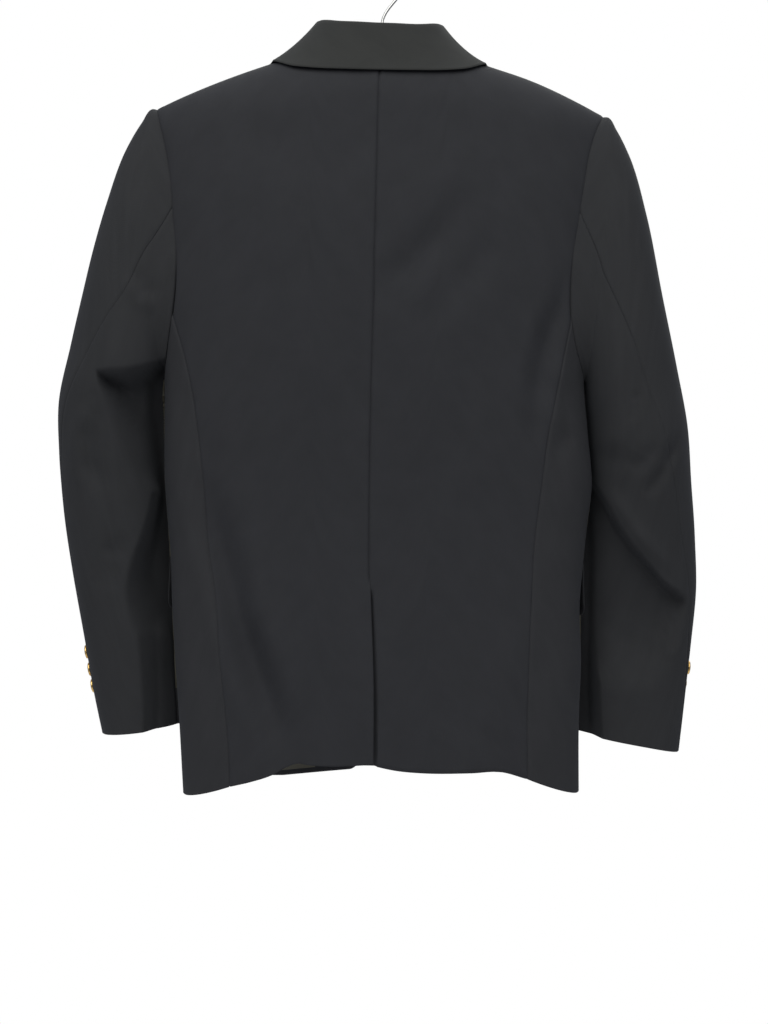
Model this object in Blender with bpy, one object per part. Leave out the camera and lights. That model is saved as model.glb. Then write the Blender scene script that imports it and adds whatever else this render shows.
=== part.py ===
"""A single-breasted navy blazer with brass buttons, hanging on a plain hanger.

The hook's seat is the origin, +Z is up, the garment's front faces -Y, and the wearer's left is +X.
Tables are in millimetres, in the pattern's own heights, which HANG lowers to the hook's seat.
On each side x runs outward from the middle, so one table row serves left and right.
"""

import math
from collections import namedtuple

import bpy
import numpy as np

MM = 0.001
HANG = -13 * MM  # the pattern's height zero, below the hook's seat
WALL = 1.8 * MM  # the cloth with its inner layers
GAP = 0.3 * MM  # between pieces at a seam
SLEEVE_GAP = 0.5 * MM
LEFT, RIGHT = 1, -1
BACK, FRONT = 1, -1
SIDES = {LEFT: "left", RIGHT: "right"}

# ---------------------------------------------------------------- the body's form
Section = namedtuple("Section", "height left right back front round")
BODY = (  # half widths left and right, depths behind and before the shoulder ridge, corner power
    Section(-55, 232, 232, 62, 60, 2.2),
    Section(-110, 232, 232, 65, 64, 2.3),
    Section(-135, 231, 231, 68, 68, 2.5),
    Section(-174, 224.5, 223, 70, 72, 2.8),
    Section(-215, 221.5, 219, 73, 76, 3.0),
    Section(-281, 220, 216.5, 75, 80, 3.0),
    Section(-346, 215.5, 212, 75, 80, 3.0),
    Section(-396, 210.6, 208.5, 73, 78, 3.0),
    Section(-450, 209.4, 213.5, 70, 75, 3.0),
    Section(-506, 208.3, 219, 67, 72, 2.9),
    Section(-545, 205, 215, 66, 71, 2.8),
    Section(-580, 201.2, 212, 66.5, 71, 2.8),
    Section(-625, 199, 209, 68, 72, 2.8),
    Section(-680, 195, 211.5, 70, 74, 2.8),
    Section(-730, 190.6, 210.5, 72, 76, 2.8),
    Section(-830, 183, 212, 74, 78, 2.8),
)
SHOULDER_FALL = 70 * MM  # the height over which the shoulder rounds into the back and front

Shoulder = namedtuple("Shoulder", "x left right")
SHOULDER = (  # the shoulder line's heights, from the neck's middle to past the shoulder point
    Shoulder(0, -66, -66),
    Shoulder(40, -69, -69),
    Shoulder(72, -77.5, -77),
    Shoulder(110, -89.6, -88.6),
    Shoulder(150, -104, -101.2),
    Shoulder(200, -125, -123),
    Shoulder(224, -136.2, -135),
    Shoulder(240, -144, -143.5),
)
Edge = namedtuple("Edge", "x height")
NECK_X = 72 * MM
NECK_BACK = -94 * MM  # the neck seam's height at the centre back
SHOULDER_X = 224 * MM

Line = namedtuple("Line", "height left right")
ARMHOLE = (  # the armhole seam's x, behind and before alike
    Line(-135, 224, 223.5),
    Line(-155, 218, 214),
    Line(-174, 212.6, 208),
    Line(-215, 204, 201),
    Line(-250, 200.5, 196),
    Line(-281, 197, 191.5),
    Line(-306, 196.5, 190),
    Line(-331, 198.2, 190.3),
    Line(-346, 200, 191.5),
    Line(-371, 203.8, 197),
    Line(-396, 208, 206),
    Line(-408, 210.4, 208.7),
)
ARMHOLE_TOP = {LEFT: -136 * MM, RIGHT: -134.8 * MM}
ARMHOLE_END = {LEFT: -408 * MM, RIGHT: -402 * MM}
SIDE_BACK = (  # the seam between back and side panel
    Line(-346, 200, 191.5),
    Line(-378, 189, 185),
    Line(-423, 177.7, 176.5),
    Line(-456, 172.2, 170.5),
    Line(-509, 165.4, 164.5),
    Line(-572, 159.3, 158.2),
    Line(-611, 152.5, 157),
    Line(-691, 144.4, 155),
    Line(-734, 138.8, 154.5),
    Line(-777, 134.5, 155.5),
    Line(-830, 133, 155.5),
)
SIDE_FRONT = (  # the seam between side panel and front
    Line(-346, 200, 191.5),
    Line(-400, 189, 184),
    Line(-520, 176, 176),
    Line(-620, 168, 172),
    Line(-830, 152, 166),
)
CENTRE_BACK = (  # the seam's drift towards the wearer's left
    Edge(0.7, -94),
    Edge(2, -330),
    Edge(2.5, -506),
    Edge(-0.4, -606),
    Edge(-6, -700),
    Edge(-7.5, -780),
)
HEM_BACK = {  # the back's lower edge, outward from the vent
    LEFT: (
        Edge(-8, -777),
        Edge(12, -778.8),
        Edge(35, -780),
        Edge(56, -779.3),
        Edge(68, -778.2),
        Edge(78, -782),
        Edge(90, -789),
        Edge(112, -797.3),
        Edge(134, -803.5),
    ),
    RIGHT: (
        Edge(7, -779),
        Edge(25, -782.5),
        Edge(56, -785),
        Edge(100, -784.5),
        Edge(130, -783.5),
        Edge(155.5, -790.5),
    ),
}
HEM_SIDE = {LEFT: -818 * MM, RIGHT: -809 * MM}  # its lowest point, under the arm
HEM_FRONT = {LEFT: -812 * MM, RIGHT: -804 * MM}

FRONT_EDGE = (  # neck, roll line, closing edge and cutaway of a front, x past the middle counts below 0
    Edge(72, -77),
    Edge(68, -88),
    Edge(60, -108),
    Edge(41, -187),
    Edge(12, -307),
    Edge(-17, -428),
    Edge(-20, -470),
    Edge(-20, -560),
    Edge(-18, -620),
    Edge(-12, -675),
    Edge(-8, -715),
    Edge(-2, -752),
    Edge(7, -785),
)
SWEEP_RISE, SWEEP_RUN = 8 * MM, 82 * MM  # the hem's slow rise towards the front edge
CORNER_RISE, CORNER_RUN = 11 * MM, 13 * MM  # its round corner there
UNDERLAP = 6.2 * MM  # how far the right front passes behind the left
UNDERLAP_FROM, UNDERLAP_TO = 80 * MM, 20 * MM

VENT_TOP = -606 * MM
VENT_DEPTH = 2.7 * MM
VENT_COLUMNS = (34 * MM, 20 * MM, 8 * MM)  # the underlay's columns, past the centre seam

# ---------------------------------------------------------------- the sleeves' form
Ring = namedtuple("Ring", "out_x out_z in_x in_z middle depth seam turn rows")
SLEEVES = {  # a ring's outer and inner points, its middle's y, half depth, the degrees by which its back
    # seam and the whole ring are turned, and the rows up to it
    LEFT: (
        Ring(229.5, -135.6, 211.2, -409.6, 0, 48.5, 14, 0, 1),
        Ring(240, -149, 211.8, -411.5, 0, 51, 14, 0, 1),
        Ring(254, -175, 212, -414.5, 0, 53, 14, 0, 1),
        Ring(271.4, -228.6, 212, -420.5, -2, 56, 12, 0, 2),
        Ring(290.6, -301, 211.8, -430, -7, 60, 0, 0, 2),
        Ring(306.4, -369.7, 211.6, -445, -13, 61, 0, -16, 3),
        Ring(319, -430.9, 211.4, -466, -18, 60, 0, -35, 3),
        Ring(318.6, -481.3, 211, -503, -22, 58, 0, -47, 3),
        Ring(313.4, -539.1, 207.5, -549, -25, 55, 0, -57, 3),
        Ring(303.7, -602.1, 203.5, -605, -28, 52, 0, -62, 3),
        Ring(291.8, -665.4, 200.5, -664, -31, 49, 0, -65, 2),
        Ring(281.4, -722.3, 197.5, -717, -34, 46, 0, -67, 2),
        Ring(271.7, -765.2, 194.8, -755.4, -36, 44, 0, -68, 2),
    ),
    RIGHT: (
        Ring(228.5, -135.2, 209.6, -403.6, 0, 48.5, 20, 0, 1),
        Ring(236.5, -147, 210.6, -405.6, 0, 51, 22, 0, 1),
        Ring(249.5, -172, 211.4, -409, 0, 53, 22, 0, 1),
        Ring(268.3, -231.8, 212, -415, -1, 57, 18, 0, 2),
        Ring(285.9, -311.3, 213, -426, -5, 60, 11, 0, 2),
        Ring(302.8, -383.1, 214.5, -443, -10, 61, 5, 0, 3),
        Ring(315.6, -443.2, 217.5, -470, -14, 60, 0, -6, 3),
        Ring(321.9, -499.6, 221, -509, -20, 56, 0, -16, 4),
        Ring(328, -552.3, 218.5, -557, -27, 51, 0, -25, 4),
        Ring(331.8, -608.4, 214.5, -609, -33, 46, 0, -38, 3),
        Ring(328.6, -664.9, 214.5, -662, -38, 41, 0, -50, 2),
        Ring(324, -718.4, 215, -712.2, -41, 37, 0, -59, 2),
        Ring(318.9, -773.9, 215, -755.8, -43, 34, 0, -64, 2),
    ),
}
SLEEVE_ROUND = 2.25

# ---------------------------------------------------------------- folds
Fold = namedtuple("Fold", "x1 z1 x2 z2 width depth")
BODY_FOLDS = {  # troughs in the panels, from point to point; a negative depth is a ridge
    LEFT: (
        Fold(158, -545, 66, -775, 20, 6.0),
        Fold(130, -640, 112, -800, 20, -2.5),
    ),
    RIGHT: (
        Fold(182, -322, 166, -402, 17, 4.5),
        Fold(56, -590, 116, -780, 26, 3.0),
    ),
}
SLEEVE_FOLDS = {  # across the sleeves at the elbow
    LEFT: (
        Fold(282, -392, 222, -444, 13, 7.0),
        Fold(262, -425, 306, -486, 20, -4.0),
        Fold(214, -540, 268, -650, 18, 4.5),
    ),
    RIGHT: (
        Fold(220, -494, 262, -577, 14, 8.0),
        Fold(256, -568, 326, -632, 15, 7.0),
        Fold(236, -488, 314, -590, 18, -6.0),
        Fold(276, -440, 308, -480, 13, 3.0),
    ),
}

# ---------------------------------------------------------------- grid steps
ARM_ROWS = 8  # rows of the back and front down the armhole
LOW_ROWS = 13  # rows from there to the hem
UNDER_COLUMNS = 6  # columns of a side panel
NECK_COLUMNS = 4
SHOULDER_COLUMNS = 7  # of a back
FRONT_COLUMNS = 9
BACK_SEAM, FRONT_SEAM = 5, 15  # the sleeve's columns that carry its two seams

# ---------------------------------------------------------------- collar, lapel, flap, button, hanger
Station = namedtuple("Station", "roll_x roll_y roll_z seam_x seam_z edge_x edge_z face")
COLLAR = (  # from the centre back to the gorge: the roll, the neck seam, the outer edge
    Station(0, 47, -58.5, 0, -94, 0, -108.5, BACK),
    Station(22, 45.3, -57.4, 26, -93.4, 33, -108.2, BACK),
    Station(41, 37.5, -54.8, 48, -89.8, 62, -107, BACK),
    Station(55, 24, -50.2, 63, -82.3, 87, -103, BACK),
    Station(62, 8, -47, 70, -76.6, 107, -93, BACK),
    Station(64.5, -8, -47.4, 71.7, -76.2, 116, -91, FRONT),
    Station(65, -23, -56, 69.5, -84, 121, -98.5, FRONT),
    Station(63.5, -38, -73, 65.3, -95, 121.5, -108, FRONT),
)
GORGE = ((60.2, -108), (70, -115), (84, -127), (97, -138), (118, -113))  # the fall's front end
FALL_ROWS = (0, 0.1, 0.38, 0.7, 1)
FALL_LIFT = 3.5 * MM  # its outer face over the cloth below
FALL_SAG = {LEFT: 5 * MM, RIGHT: 6.5 * MM}  # from its roll to its edge, less and less from here to the gorge
SAG_FADES = 0.62  # of the way round
COLLAR_REACH = {LEFT: (1.03, 0.985), RIGHT: (0.975, 0.955)}  # the share of the table's x at the roll and at the edge
COLLAR_DROP = {LEFT: 0, RIGHT: 1.6 * MM}  # how much lower its roll sits beside the neck
ROLL_RADIUS = 2.6 * MM
COLLAR_STEPS = 2

LAPEL_TIP = (132, -166)
LAPEL_EDGE = (  # the lapel's outer edge, from its tip to the break
    Edge(132, -166),
    Edge(124, -200),
    Edge(104, -262),
    Edge(72, -326),
    Edge(34, -384),
    Edge(-8, -425),
)
LAPEL_LIFT = 3.6 * MM
LAPEL_ROLL = 3.5 * MM  # how much further it stands out beside the roll line

FLAP_TOP, FLAP_HEIGHT = -584 * MM, 51 * MM
FLAP_ANGLES = (-0.05, -1.12)  # round the body, from the side towards the front
FLAP_WALL = 2.0 * MM
FLAP_CLEAR = 0.8 * MM
FLAP_FLARE = {LEFT: 2.2 * MM, RIGHT: 3.0 * MM}  # how much further its lower edge stands out

BUTTON_FRONT = (0, -452), (0, -556)  # x and height on the left front
BUTTON_FRONT_SIZE = (10 * MM, 3.4 * MM)  # radius and thickness
BUTTON_CUFF_SIZE = (7.2 * MM, 2.0 * MM)
CuffButton = namedtuple("CuffButton", "height around")  # around: columns from the back seam towards the front
BUTTON_CUFF = {
    LEFT: (CuffButton(-684, 1), CuffButton(-702, 1), CuffButton(-719, 1)),
    RIGHT: (CuffButton(-689, 1.6), CuffButton(-706, 2.3), CuffButton(-723, 2.5)),
}

BUTTON_PROFILE = (  # radius and height from the shank's foot to the dome's top, as shares of the button's size
    (0.0, -1.0),
    (0.3, -1.0),
    (0.3, -0.45),
    (0.86, -0.4),
    (1.0, -0.1),
    (0.97, 0.25),
    (0.6, 0.62),
    (0.0, 0.75),
)

WIRE = 1.6 * MM  # the hook wire's radius
HOOK_RADIUS = 20 * MM
HOOK_BEND = (0, -58), (-0.8, -52.5), (-3.4, -46.5), (-7.6, -40.4)  # x and height over the collar
BAR_END = 196 * MM
BAR_HALF = (9 * MM, 6 * MM)  # half depth at the neck and half height
BAR_END_HALF = 10 * MM
BAR_UNDER = 3.2 * MM  # its top under the shoulder's outer surface


def follow(rows, at):
    """A smooth curve through rows of (place, value), read at places; it is held level past its ends."""
    place, value = np.array(sorted(rows), float).T
    at = np.clip(at, place[0], place[-1])
    slope = np.gradient(value, place)
    i = np.clip(np.searchsorted(place, at, side="right") - 1, 0, len(place) - 2)
    span = place[i + 1] - place[i]
    t = (at - place[i]) / span
    return (
        value[i] * (2 * t**3 - 3 * t**2 + 1)
        + value[i + 1] * (3 * t**2 - 2 * t**3)
        + span * (slope[i] * (t**3 - 2 * t**2 + t) + slope[i + 1] * (t**3 - t**2))
    )


def by_height(table, name, height):
    """The named column of a table, in metres, at heights in metres."""
    return follow([(row.height * MM, getattr(row, name) * MM) for row in table], height)


def by_x(table, x):
    """The height column of a table, in metres, at x in metres."""
    return follow([(row.x * MM, row.height * MM) for row in table], x)


def unit(vectors):
    return vectors / np.maximum(np.linalg.norm(vectors, axis=-1, keepdims=True), 1e-12)


def smooth(value):
    value = np.clip(value, 0, 1)
    return value * value * (3 - 2 * value)


def roundness(height):
    return by_height(BODY, "round", height) / MM


def ridge(side, x):
    """The height of the shoulder line at x."""
    return follow([(row.x * MM, getattr(row, SIDES[side]) * MM) for row in SHOULDER], np.abs(x))


def body_parts(side, x, height, face):
    """What the body's form is worked out from: corner power, depth, and the share left of it at x and height."""
    power = roundness(height)
    width = by_height(BODY, SIDES[side], height)
    depth = by_height(BODY, "back" if face == BACK else "front", height)
    across = 1 - (np.abs(x) / width) ** power
    below = np.clip((ridge(side, x) - height) / SHOULDER_FALL, -0.5, 1)
    return power, depth, across * (1 - (1 - below) ** power)


def body_point(side, x, height, face):
    """Points of the body's outer surface, in the pattern's frame with x outward."""
    power, depth, left = body_parts(side, x, height, face)
    return np.stack([x, face * depth * np.maximum(left, 0) ** (1 / power), height + 0 * x], axis=-1)


def body_normal(side, points, face):
    """The outward direction of the body's surface, the same for pieces that meet at a seam."""

    def level(p):
        power, depth, left = body_parts(side, p[..., 0], p[..., 2], face)
        return (np.abs(p[..., 1]) / depth) ** power - left

    step = 0.4 * MM
    slopes = []
    for axis in range(3):
        move = np.zeros(3)
        move[axis] = step
        slopes.append(level(points + move) - level(points - move))
    return unit(np.stack(slopes, axis=-1))


def fold_depth(folds, points):
    """How far the folds press the cloth in, at each point."""
    pressed = np.zeros(points.shape[:-1])
    flat = points[..., [0, 2]] / MM
    for fold in folds:
        start, end = np.array([fold.x1, fold.z1]), np.array([fold.x2, fold.z2])
        along = end - start
        share = ((flat - start) @ along) / (along @ along)
        off = np.linalg.norm(flat - start - np.clip(share, 0, 1)[..., None] * along, axis=-1)
        fade = smooth(share * 4) * smooth((1 - share) * 4)
        pressed += fold.depth * MM * np.exp(-((off / fold.width) ** 2)) * np.where(
            (share > 0) & (share < 1), fade, 0
        )
    return pressed


# ---------------------------------------------------------------- meshes
def new_object(name, vertices, faces, material, side=LEFT):
    """One named closed mesh, moved from the pattern's frame to the hanger's."""
    vertices = np.asarray(vertices) * [side, 1, 1] + [0, 0, HANG]
    if side == RIGHT:
        faces = [face[::-1] for face in faces]
    mesh = bpy.data.meshes.new(name)
    mesh.from_pydata(vertices.tolist(), [], faces)
    mesh.update()
    mesh.shade_smooth()
    mesh.set_sharp_from_angle(angle=math.radians(40))
    mesh.materials.append(material)
    item = bpy.data.objects.new(name, mesh)
    bpy.context.scene.collection.objects.link(item)
    return item


def grid_faces(rows, columns, keep=None):
    """The faces of a grid of points, facing the side from which its columns run left to right."""
    return [
        (r * columns + c, (r + 1) * columns + c, (r + 1) * columns + c + 1, r * columns + c + 1)
        for r in range(rows - 1)
        for c in range(columns - 1)
        if keep is None or keep[r][c]
    ]


def wall(name, grid, normals, material, side=LEFT, thickness=WALL, keep=None):
    """A cloth piece: the grid is its outer face, and its wall is built inward from it."""
    rows, columns = grid.shape[:2]
    outer, directions = grid.reshape(-1, 3), normals.reshape(-1, 3)
    inner = outer - thickness * directions
    faces = grid_faces(rows, columns, keep)
    corners = outer[np.array(faces)]
    facing = np.cross(corners[:, 2] - corners[:, 0], corners[:, 3] - corners[:, 1])
    if (facing * directions[np.array(faces)[:, 0]]).sum() < 0:
        faces = [face[::-1] for face in faces]
    used = {}
    sides = set()
    for face in faces:
        for a, b in zip(face, face[1:] + face[:1]):
            sides.add((a, b))
            used.setdefault(a, len(used))
    rim = sorted((a, b) for a, b in sides if (b, a) not in sides)
    shift = len(used)
    order = sorted(used, key=used.get)
    vertices = np.vstack([outer[order], inner[order]])
    shell = [tuple(used[v] for v in face) for face in faces]
    shell += [tuple(used[v] + shift for v in face[::-1]) for face in faces]
    shell += [(used[b], used[a], used[a] + shift, used[b] + shift) for a, b in rim]
    return new_object(name, vertices, shell, material, side)


def pull_in(grid, edges, by=GAP / 2):
    """Draws the named edges of a grid in along its surface, square to the edge, which leaves the seam's gap."""
    grid = grid.copy()
    for edge in edges:
        turned = {
            "top": grid,
            "bottom": grid[::-1],
            "left": grid.swapaxes(0, 1),
            "right": grid[:, ::-1].swapaxes(0, 1),
        }[edge]
        along = unit(np.gradient(turned[0], axis=0))
        inward = turned[1] - turned[0]
        inward -= (inward * along).sum(axis=-1, keepdims=True) * along
        turned[0] += by * unit(inward)
    return grid


def fill(top, bottom, left, right):
    """A grid of points between four edges that share their corners."""
    s = np.linalg.norm(np.diff(top, axis=0), axis=1).cumsum()
    s = np.concatenate([[0], s / s[-1]])[None, :, None]
    t = np.abs(right[:, -1] - right[0, -1])
    t = (t / t[-1])[:, None, None]
    return (
        (1 - t) * top[None]
        + t * bottom[None]
        + (1 - s) * left[:, None]
        + s * right[:, None]
        - (1 - s) * (1 - t) * top[0]
        - s * (1 - t) * top[-1]
        - (1 - s) * t * bottom[0]
        - s * t * bottom[-1]
    )


# ---------------------------------------------------------------- seams of the body
def armhole_angles():
    """The angles round an armhole at which its pieces' points lie, from the shoulder over the back."""
    last = math.acos((-346 * MM - arm_middle(LEFT)) / arm_half(LEFT))
    down = np.linspace(0, last, ARM_ROWS + 1)
    under = np.linspace(last, 2 * math.pi - last, UNDER_COLUMNS + 1)
    return down, under


def arm_middle(side):
    return (ARMHOLE_TOP[side] + ARMHOLE_END[side]) / 2


def arm_half(side):
    return (ARMHOLE_TOP[side] - ARMHOLE_END[side]) / 2


def armhole_edge(side, angles):
    """x and height of the armhole seam at angles from its top."""
    height = arm_middle(side) + arm_half(side) * np.cos(angles)
    return np.stack([by_height(ARMHOLE, SIDES[side], height), height], axis=-1)


def outer_edge(side, face):
    """The back's or the front's outer edge: the armhole down to the side panel, then the seam to the hem."""
    down = armhole_edge(side, armhole_angles()[0])
    table = SIDE_BACK if face == BACK else SIDE_FRONT
    start = down[-1, 1]
    heights = np.linspace(start, hem_corner(side, face), LOW_ROWS + 1)[1:]
    x = by_height(table, SIDES[side], heights)
    # the seam leaves the armhole from the point that the armhole's own curve gives
    x += (down[-1, 0] - by_height(table, SIDES[side], np.array([start]))) * smooth(1 - (start - heights) / 0.05)
    return np.vstack([down, np.stack([x, heights], axis=-1)])


def hem_corner(side, face):
    """The height at which a seam between side panel and back or front meets the hem."""
    if face == BACK:
        return HEM_BACK[side][-1].height * MM
    return HEM_FRONT[side]


def even(path, steps):
    """The path's points at even spacing."""
    run = np.concatenate([[0], np.linalg.norm(np.diff(path, axis=0), axis=1).cumsum()])
    at = np.linspace(0, run[-1], steps + 1)
    return np.stack([np.interp(at, run, path[:, k]) for k in range(path.shape[1])], axis=-1)


def row_shares(side):
    edge = outer_edge(side, BACK)[:, 1]
    return (edge - edge[0]) / (edge[-1] - edge[0])


def body_grid(side, plan, face):
    """Outer points and normals of a back or front from its x and height plan, with its folds pressed in."""
    points = body_point(side, plan[..., 0], plan[..., 1], face)
    normals = body_normal(side, points, face)
    if face == BACK:
        points = points - fold_depth(BODY_FOLDS[side], points)[..., None] * normals
    return points, normals


def back_panel(side, material):
    centre = lambda height: side * by_x_of_height(CENTRE_BACK, height)
    neck = np.linspace(centre(np.array([NECK_BACK]))[0], NECK_X, NECK_COLUMNS + 1)
    shoulder = np.linspace(NECK_X, SHOULDER_X if side == LEFT else 223.5 * MM, SHOULDER_COLUMNS + 1)[1:]
    rise = np.clip(neck / NECK_X, 0, 1) ** 2.5
    top = np.vstack([
        np.stack([neck, NECK_BACK + (ridge(side, NECK_X) - NECK_BACK) * rise], axis=-1),
        np.stack([shoulder, ridge(side, shoulder)], axis=-1),
    ])
    right = outer_edge(side, BACK)
    top[-1] = right[0]
    hem_middle = by_x(HEM_BACK[side], centre(np.array([-0.78])))[0]
    heights = NECK_BACK + row_shares(side) * (hem_middle - NECK_BACK)
    left = np.stack([centre(heights), heights], axis=-1)
    hem_x = np.linspace(left[-1, 0], right[-1, 0], len(top))
    bottom = np.stack([hem_x, by_x(HEM_BACK[side], hem_x)], axis=-1)
    plan = fill(top, bottom, left, right)
    points, normals = body_grid(side, plan, BACK)
    points = pull_in(points, ("top", "left"))
    points[: ARM_ROWS + 1] = pull_in(points[: ARM_ROWS + 1], ("right",))
    points[ARM_ROWS + 1 :] = pull_in(points[ARM_ROWS + 1 :], ("right",))
    if side == LEFT:
        wall("back_left", points, normals, material)
        return
    # the right back runs on under the left below the vent's top, a little deeper
    rows = len(heights)
    first = int(np.argmax(heights < VENT_TOP))
    extra = []
    for past in VENT_COLUMNS:
        x = left[:, 0] - past
        flap = body_point(side, x, heights, BACK)
        extra.append(flap)
    extra = np.stack(extra, axis=1)
    extra_normals = body_normal(side, extra, BACK)
    points = np.concatenate([extra, points], axis=1)
    normals = np.concatenate([extra_normals, normals], axis=1)
    lapped = len(VENT_COLUMNS)
    sink = np.zeros(points.shape[:2])
    sink[first:, : lapped + 1] = VENT_DEPTH
    points = points - sink[..., None] * normals
    keep = [[c >= lapped or r >= first for c in range(points.shape[1] - 1)] for r in range(rows - 1)]
    wall("back_right", points, normals, material, side, keep=keep)


def by_x_of_height(table, height):
    """The x column of a table of x and height, at heights in metres."""
    return follow([(row.height * MM, row.x * MM) for row in table], height)


def underlap(side, points):
    """How far the right front sinks behind the left, from near the middle on."""
    if side == LEFT:
        return np.zeros(points.shape[:-1])
    return UNDERLAP * smooth((UNDERLAP_FROM - points[..., 0]) / (UNDERLAP_FROM - UNDERLAP_TO))


def front_surface(side, x, height, lift=0):
    """Points of a front's outer surface, lifted off it, and the directions there."""
    points = body_point(side, x, height, FRONT)
    normals = body_normal(side, points, FRONT)
    return points + (lift - underlap(side, points))[..., None] * normals, normals


def front_plan(side):
    shoulder = np.linspace(NECK_X, SHOULDER_X if side == LEFT else 223.5 * MM, FRONT_COLUMNS + 1)
    top = np.stack([shoulder, ridge(side, shoulder)], axis=-1)
    right = outer_edge(side, FRONT)
    top[-1] = right[0]
    shares = (right[:, 1] - right[0, 1]) / (right[-1, 1] - right[0, 1])
    low = HEM_FRONT[side] + SWEEP_RISE + CORNER_RISE
    heights = top[0, 1] + shares * (low - top[0, 1])
    left = np.stack([by_x_of_height(FRONT_EDGE, heights), heights], axis=-1)
    hem_x = np.linspace(left[-1, 0], right[-1, 0], len(top))
    inside = hem_x - hem_x[0]
    rise = SWEEP_RISE * np.clip(1 - inside / SWEEP_RUN, 0, 1)
    rise += CORNER_RISE * np.clip(1 - inside / CORNER_RUN, 0, 1) ** 2
    bottom = np.stack([hem_x, HEM_FRONT[side] + rise], axis=-1)
    return fill(top, bottom, left, right)


def front_panel(side, material):
    plan = front_plan(side)
    points, normals = front_surface(side, plan[..., 0], plan[..., 1], np.zeros(plan.shape[:2]))
    points = pull_in(points, ("top",))
    points[: ARM_ROWS + 1] = pull_in(points[: ARM_ROWS + 1], ("right",))
    points[ARM_ROWS + 1 :] = pull_in(points[ARM_ROWS + 1 :], ("right",))
    wall("front_" + SIDES[side], points, normals, material, side)


def loop_angle(side, x, height, face):
    """The angle round the body's section at which the surface has this x."""
    share = np.clip(x / by_height(BODY, SIDES[side], height), 0, 1) ** (roundness(height) / 2)
    return face * np.arccos(share)


def loop_point(side, angle, height):
    """The body's surface at an angle round its section: 0 under the arm, and above 0 behind it."""
    face = np.where(angle >= 0, BACK, FRONT)
    power = 2 / roundness(height)
    behind, before = by_height(BODY, "back", height), by_height(BODY, "front", height)
    return np.stack([
        by_height(BODY, SIDES[side], height) * np.abs(np.cos(angle)) ** power,
        face * np.where(face == BACK, behind, before) * np.abs(np.sin(angle)) ** power,
        height + 0 * angle,
    ], axis=-1)


def loop_normal(side, points):
    behind, before = body_normal(side, points, BACK), body_normal(side, points, FRONT)
    return np.where(points[..., 1:2] >= 0, behind, before)


def side_panel(side, material):
    under = armhole_edge(side, armhole_angles()[1])
    faces = np.where(armhole_angles()[1] < math.pi, BACK, FRONT)
    top = np.stack([loop_angle(side, under[:, 0], under[:, 1], faces), under[:, 1]], axis=-1)
    top[UNDER_COLUMNS // 2, 0] = 0
    behind, before = outer_edge(side, BACK)[ARM_ROWS:], outer_edge(side, FRONT)[ARM_ROWS:]
    left = np.stack([loop_angle(side, behind[:, 0], behind[:, 1], BACK), behind[:, 1]], axis=-1)
    right = np.stack([loop_angle(side, before[:, 0], before[:, 1], FRONT), before[:, 1]], axis=-1)
    top[0], top[-1] = left[0], right[0]
    angles = np.linspace(left[-1, 0], right[-1, 0], UNDER_COLUMNS + 1)
    share = np.linspace(-1, 1, UNDER_COLUMNS + 1)
    ends = np.linspace(left[-1, 1], right[-1, 1], UNDER_COLUMNS + 1)
    bottom = np.stack([angles, ends + (HEM_SIDE[side] - ends) * (1 - share**2)], axis=-1)
    s = np.linspace(0, 1, UNDER_COLUMNS + 1)[None, :, None]
    t = np.linspace(0, 1, LOW_ROWS + 1)[:, None, None]
    plan = (
        (1 - t) * top[None] + t * bottom[None] + (1 - s) * left[:, None] + s * right[:, None]
        - (1 - s) * (1 - t) * top[0] - s * (1 - t) * top[-1]
        - (1 - s) * t * bottom[0] - s * t * bottom[-1]
    )
    points = loop_point(side, plan[..., 0], plan[..., 1])
    normals = loop_normal(side, points)
    behind = points[..., 1] > 0
    points = points - (fold_depth(BODY_FOLDS[side], points) * behind)[..., None] * normals
    points = pull_in(points, ("top", "left", "right"))
    wall("side_" + SIDES[side], points, normals, material, side)


# ---------------------------------------------------------------- sleeves
def ring_points(ring, angles):
    """A sleeve's section, a slanted rounded loop between its outer and inner points."""
    outer, inner = np.array([ring.out_x, ring.out_z]) * MM, np.array([ring.in_x, ring.in_z]) * MM
    middle, arm = (outer + inner) / 2, (outer - inner) / 2
    power = 2 / SLEEVE_ROUND
    across = np.sign(np.cos(angles)) * np.abs(np.cos(angles)) ** power
    through = np.sign(np.sin(angles)) * np.abs(np.sin(angles)) ** power
    return np.stack([
        middle[0] + arm[0] * across,
        ring.middle * MM + ring.depth * MM * through,
        middle[1] + arm[1] * across,
    ], axis=-1)


def armhole_loop(side):
    """The armhole seam all round, and the angle of each of its points."""
    down, under = armhole_angles()
    angles = np.concatenate([down, under[1:-1], (2 * math.pi - down[1:])[::-1]])
    edge = armhole_edge(side, np.minimum(angles, 2 * math.pi - angles))
    behind = body_point(side, edge[:, 0], edge[:, 1], BACK)
    before = body_point(side, edge[:, 0], edge[:, 1], FRONT)
    points = np.where((angles <= math.pi)[:, None], behind, before)
    lowest = np.argmin(np.abs(angles - math.pi))
    points[lowest, 0] = by_height(BODY, SIDES[side], points[lowest, 2])
    points[[0, lowest], 1] = 0
    return points, angles


def between(rings, steps):
    """Rows through the rings, smooth along them, with so many steps from each ring to the next."""
    rings = np.asarray(rings)
    ends = np.concatenate([[2 * rings[0] - rings[1]], rings, [2 * rings[-1] - rings[-2]]])
    rows = []
    for k in range(len(rings) - 1):
        a, b, c, d = ends[k : k + 4]
        for t in np.arange(steps[k]) / steps[k]:
            curve = (2 * a - 5 * b + 4 * c - d) * t**2 + (3 * b - a - 3 * c + d) * t**3
            rows.append(b + (c - a) * t / 2 + curve / 2)
    rows.append(rings[-1])
    return np.array(rows)


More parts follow.
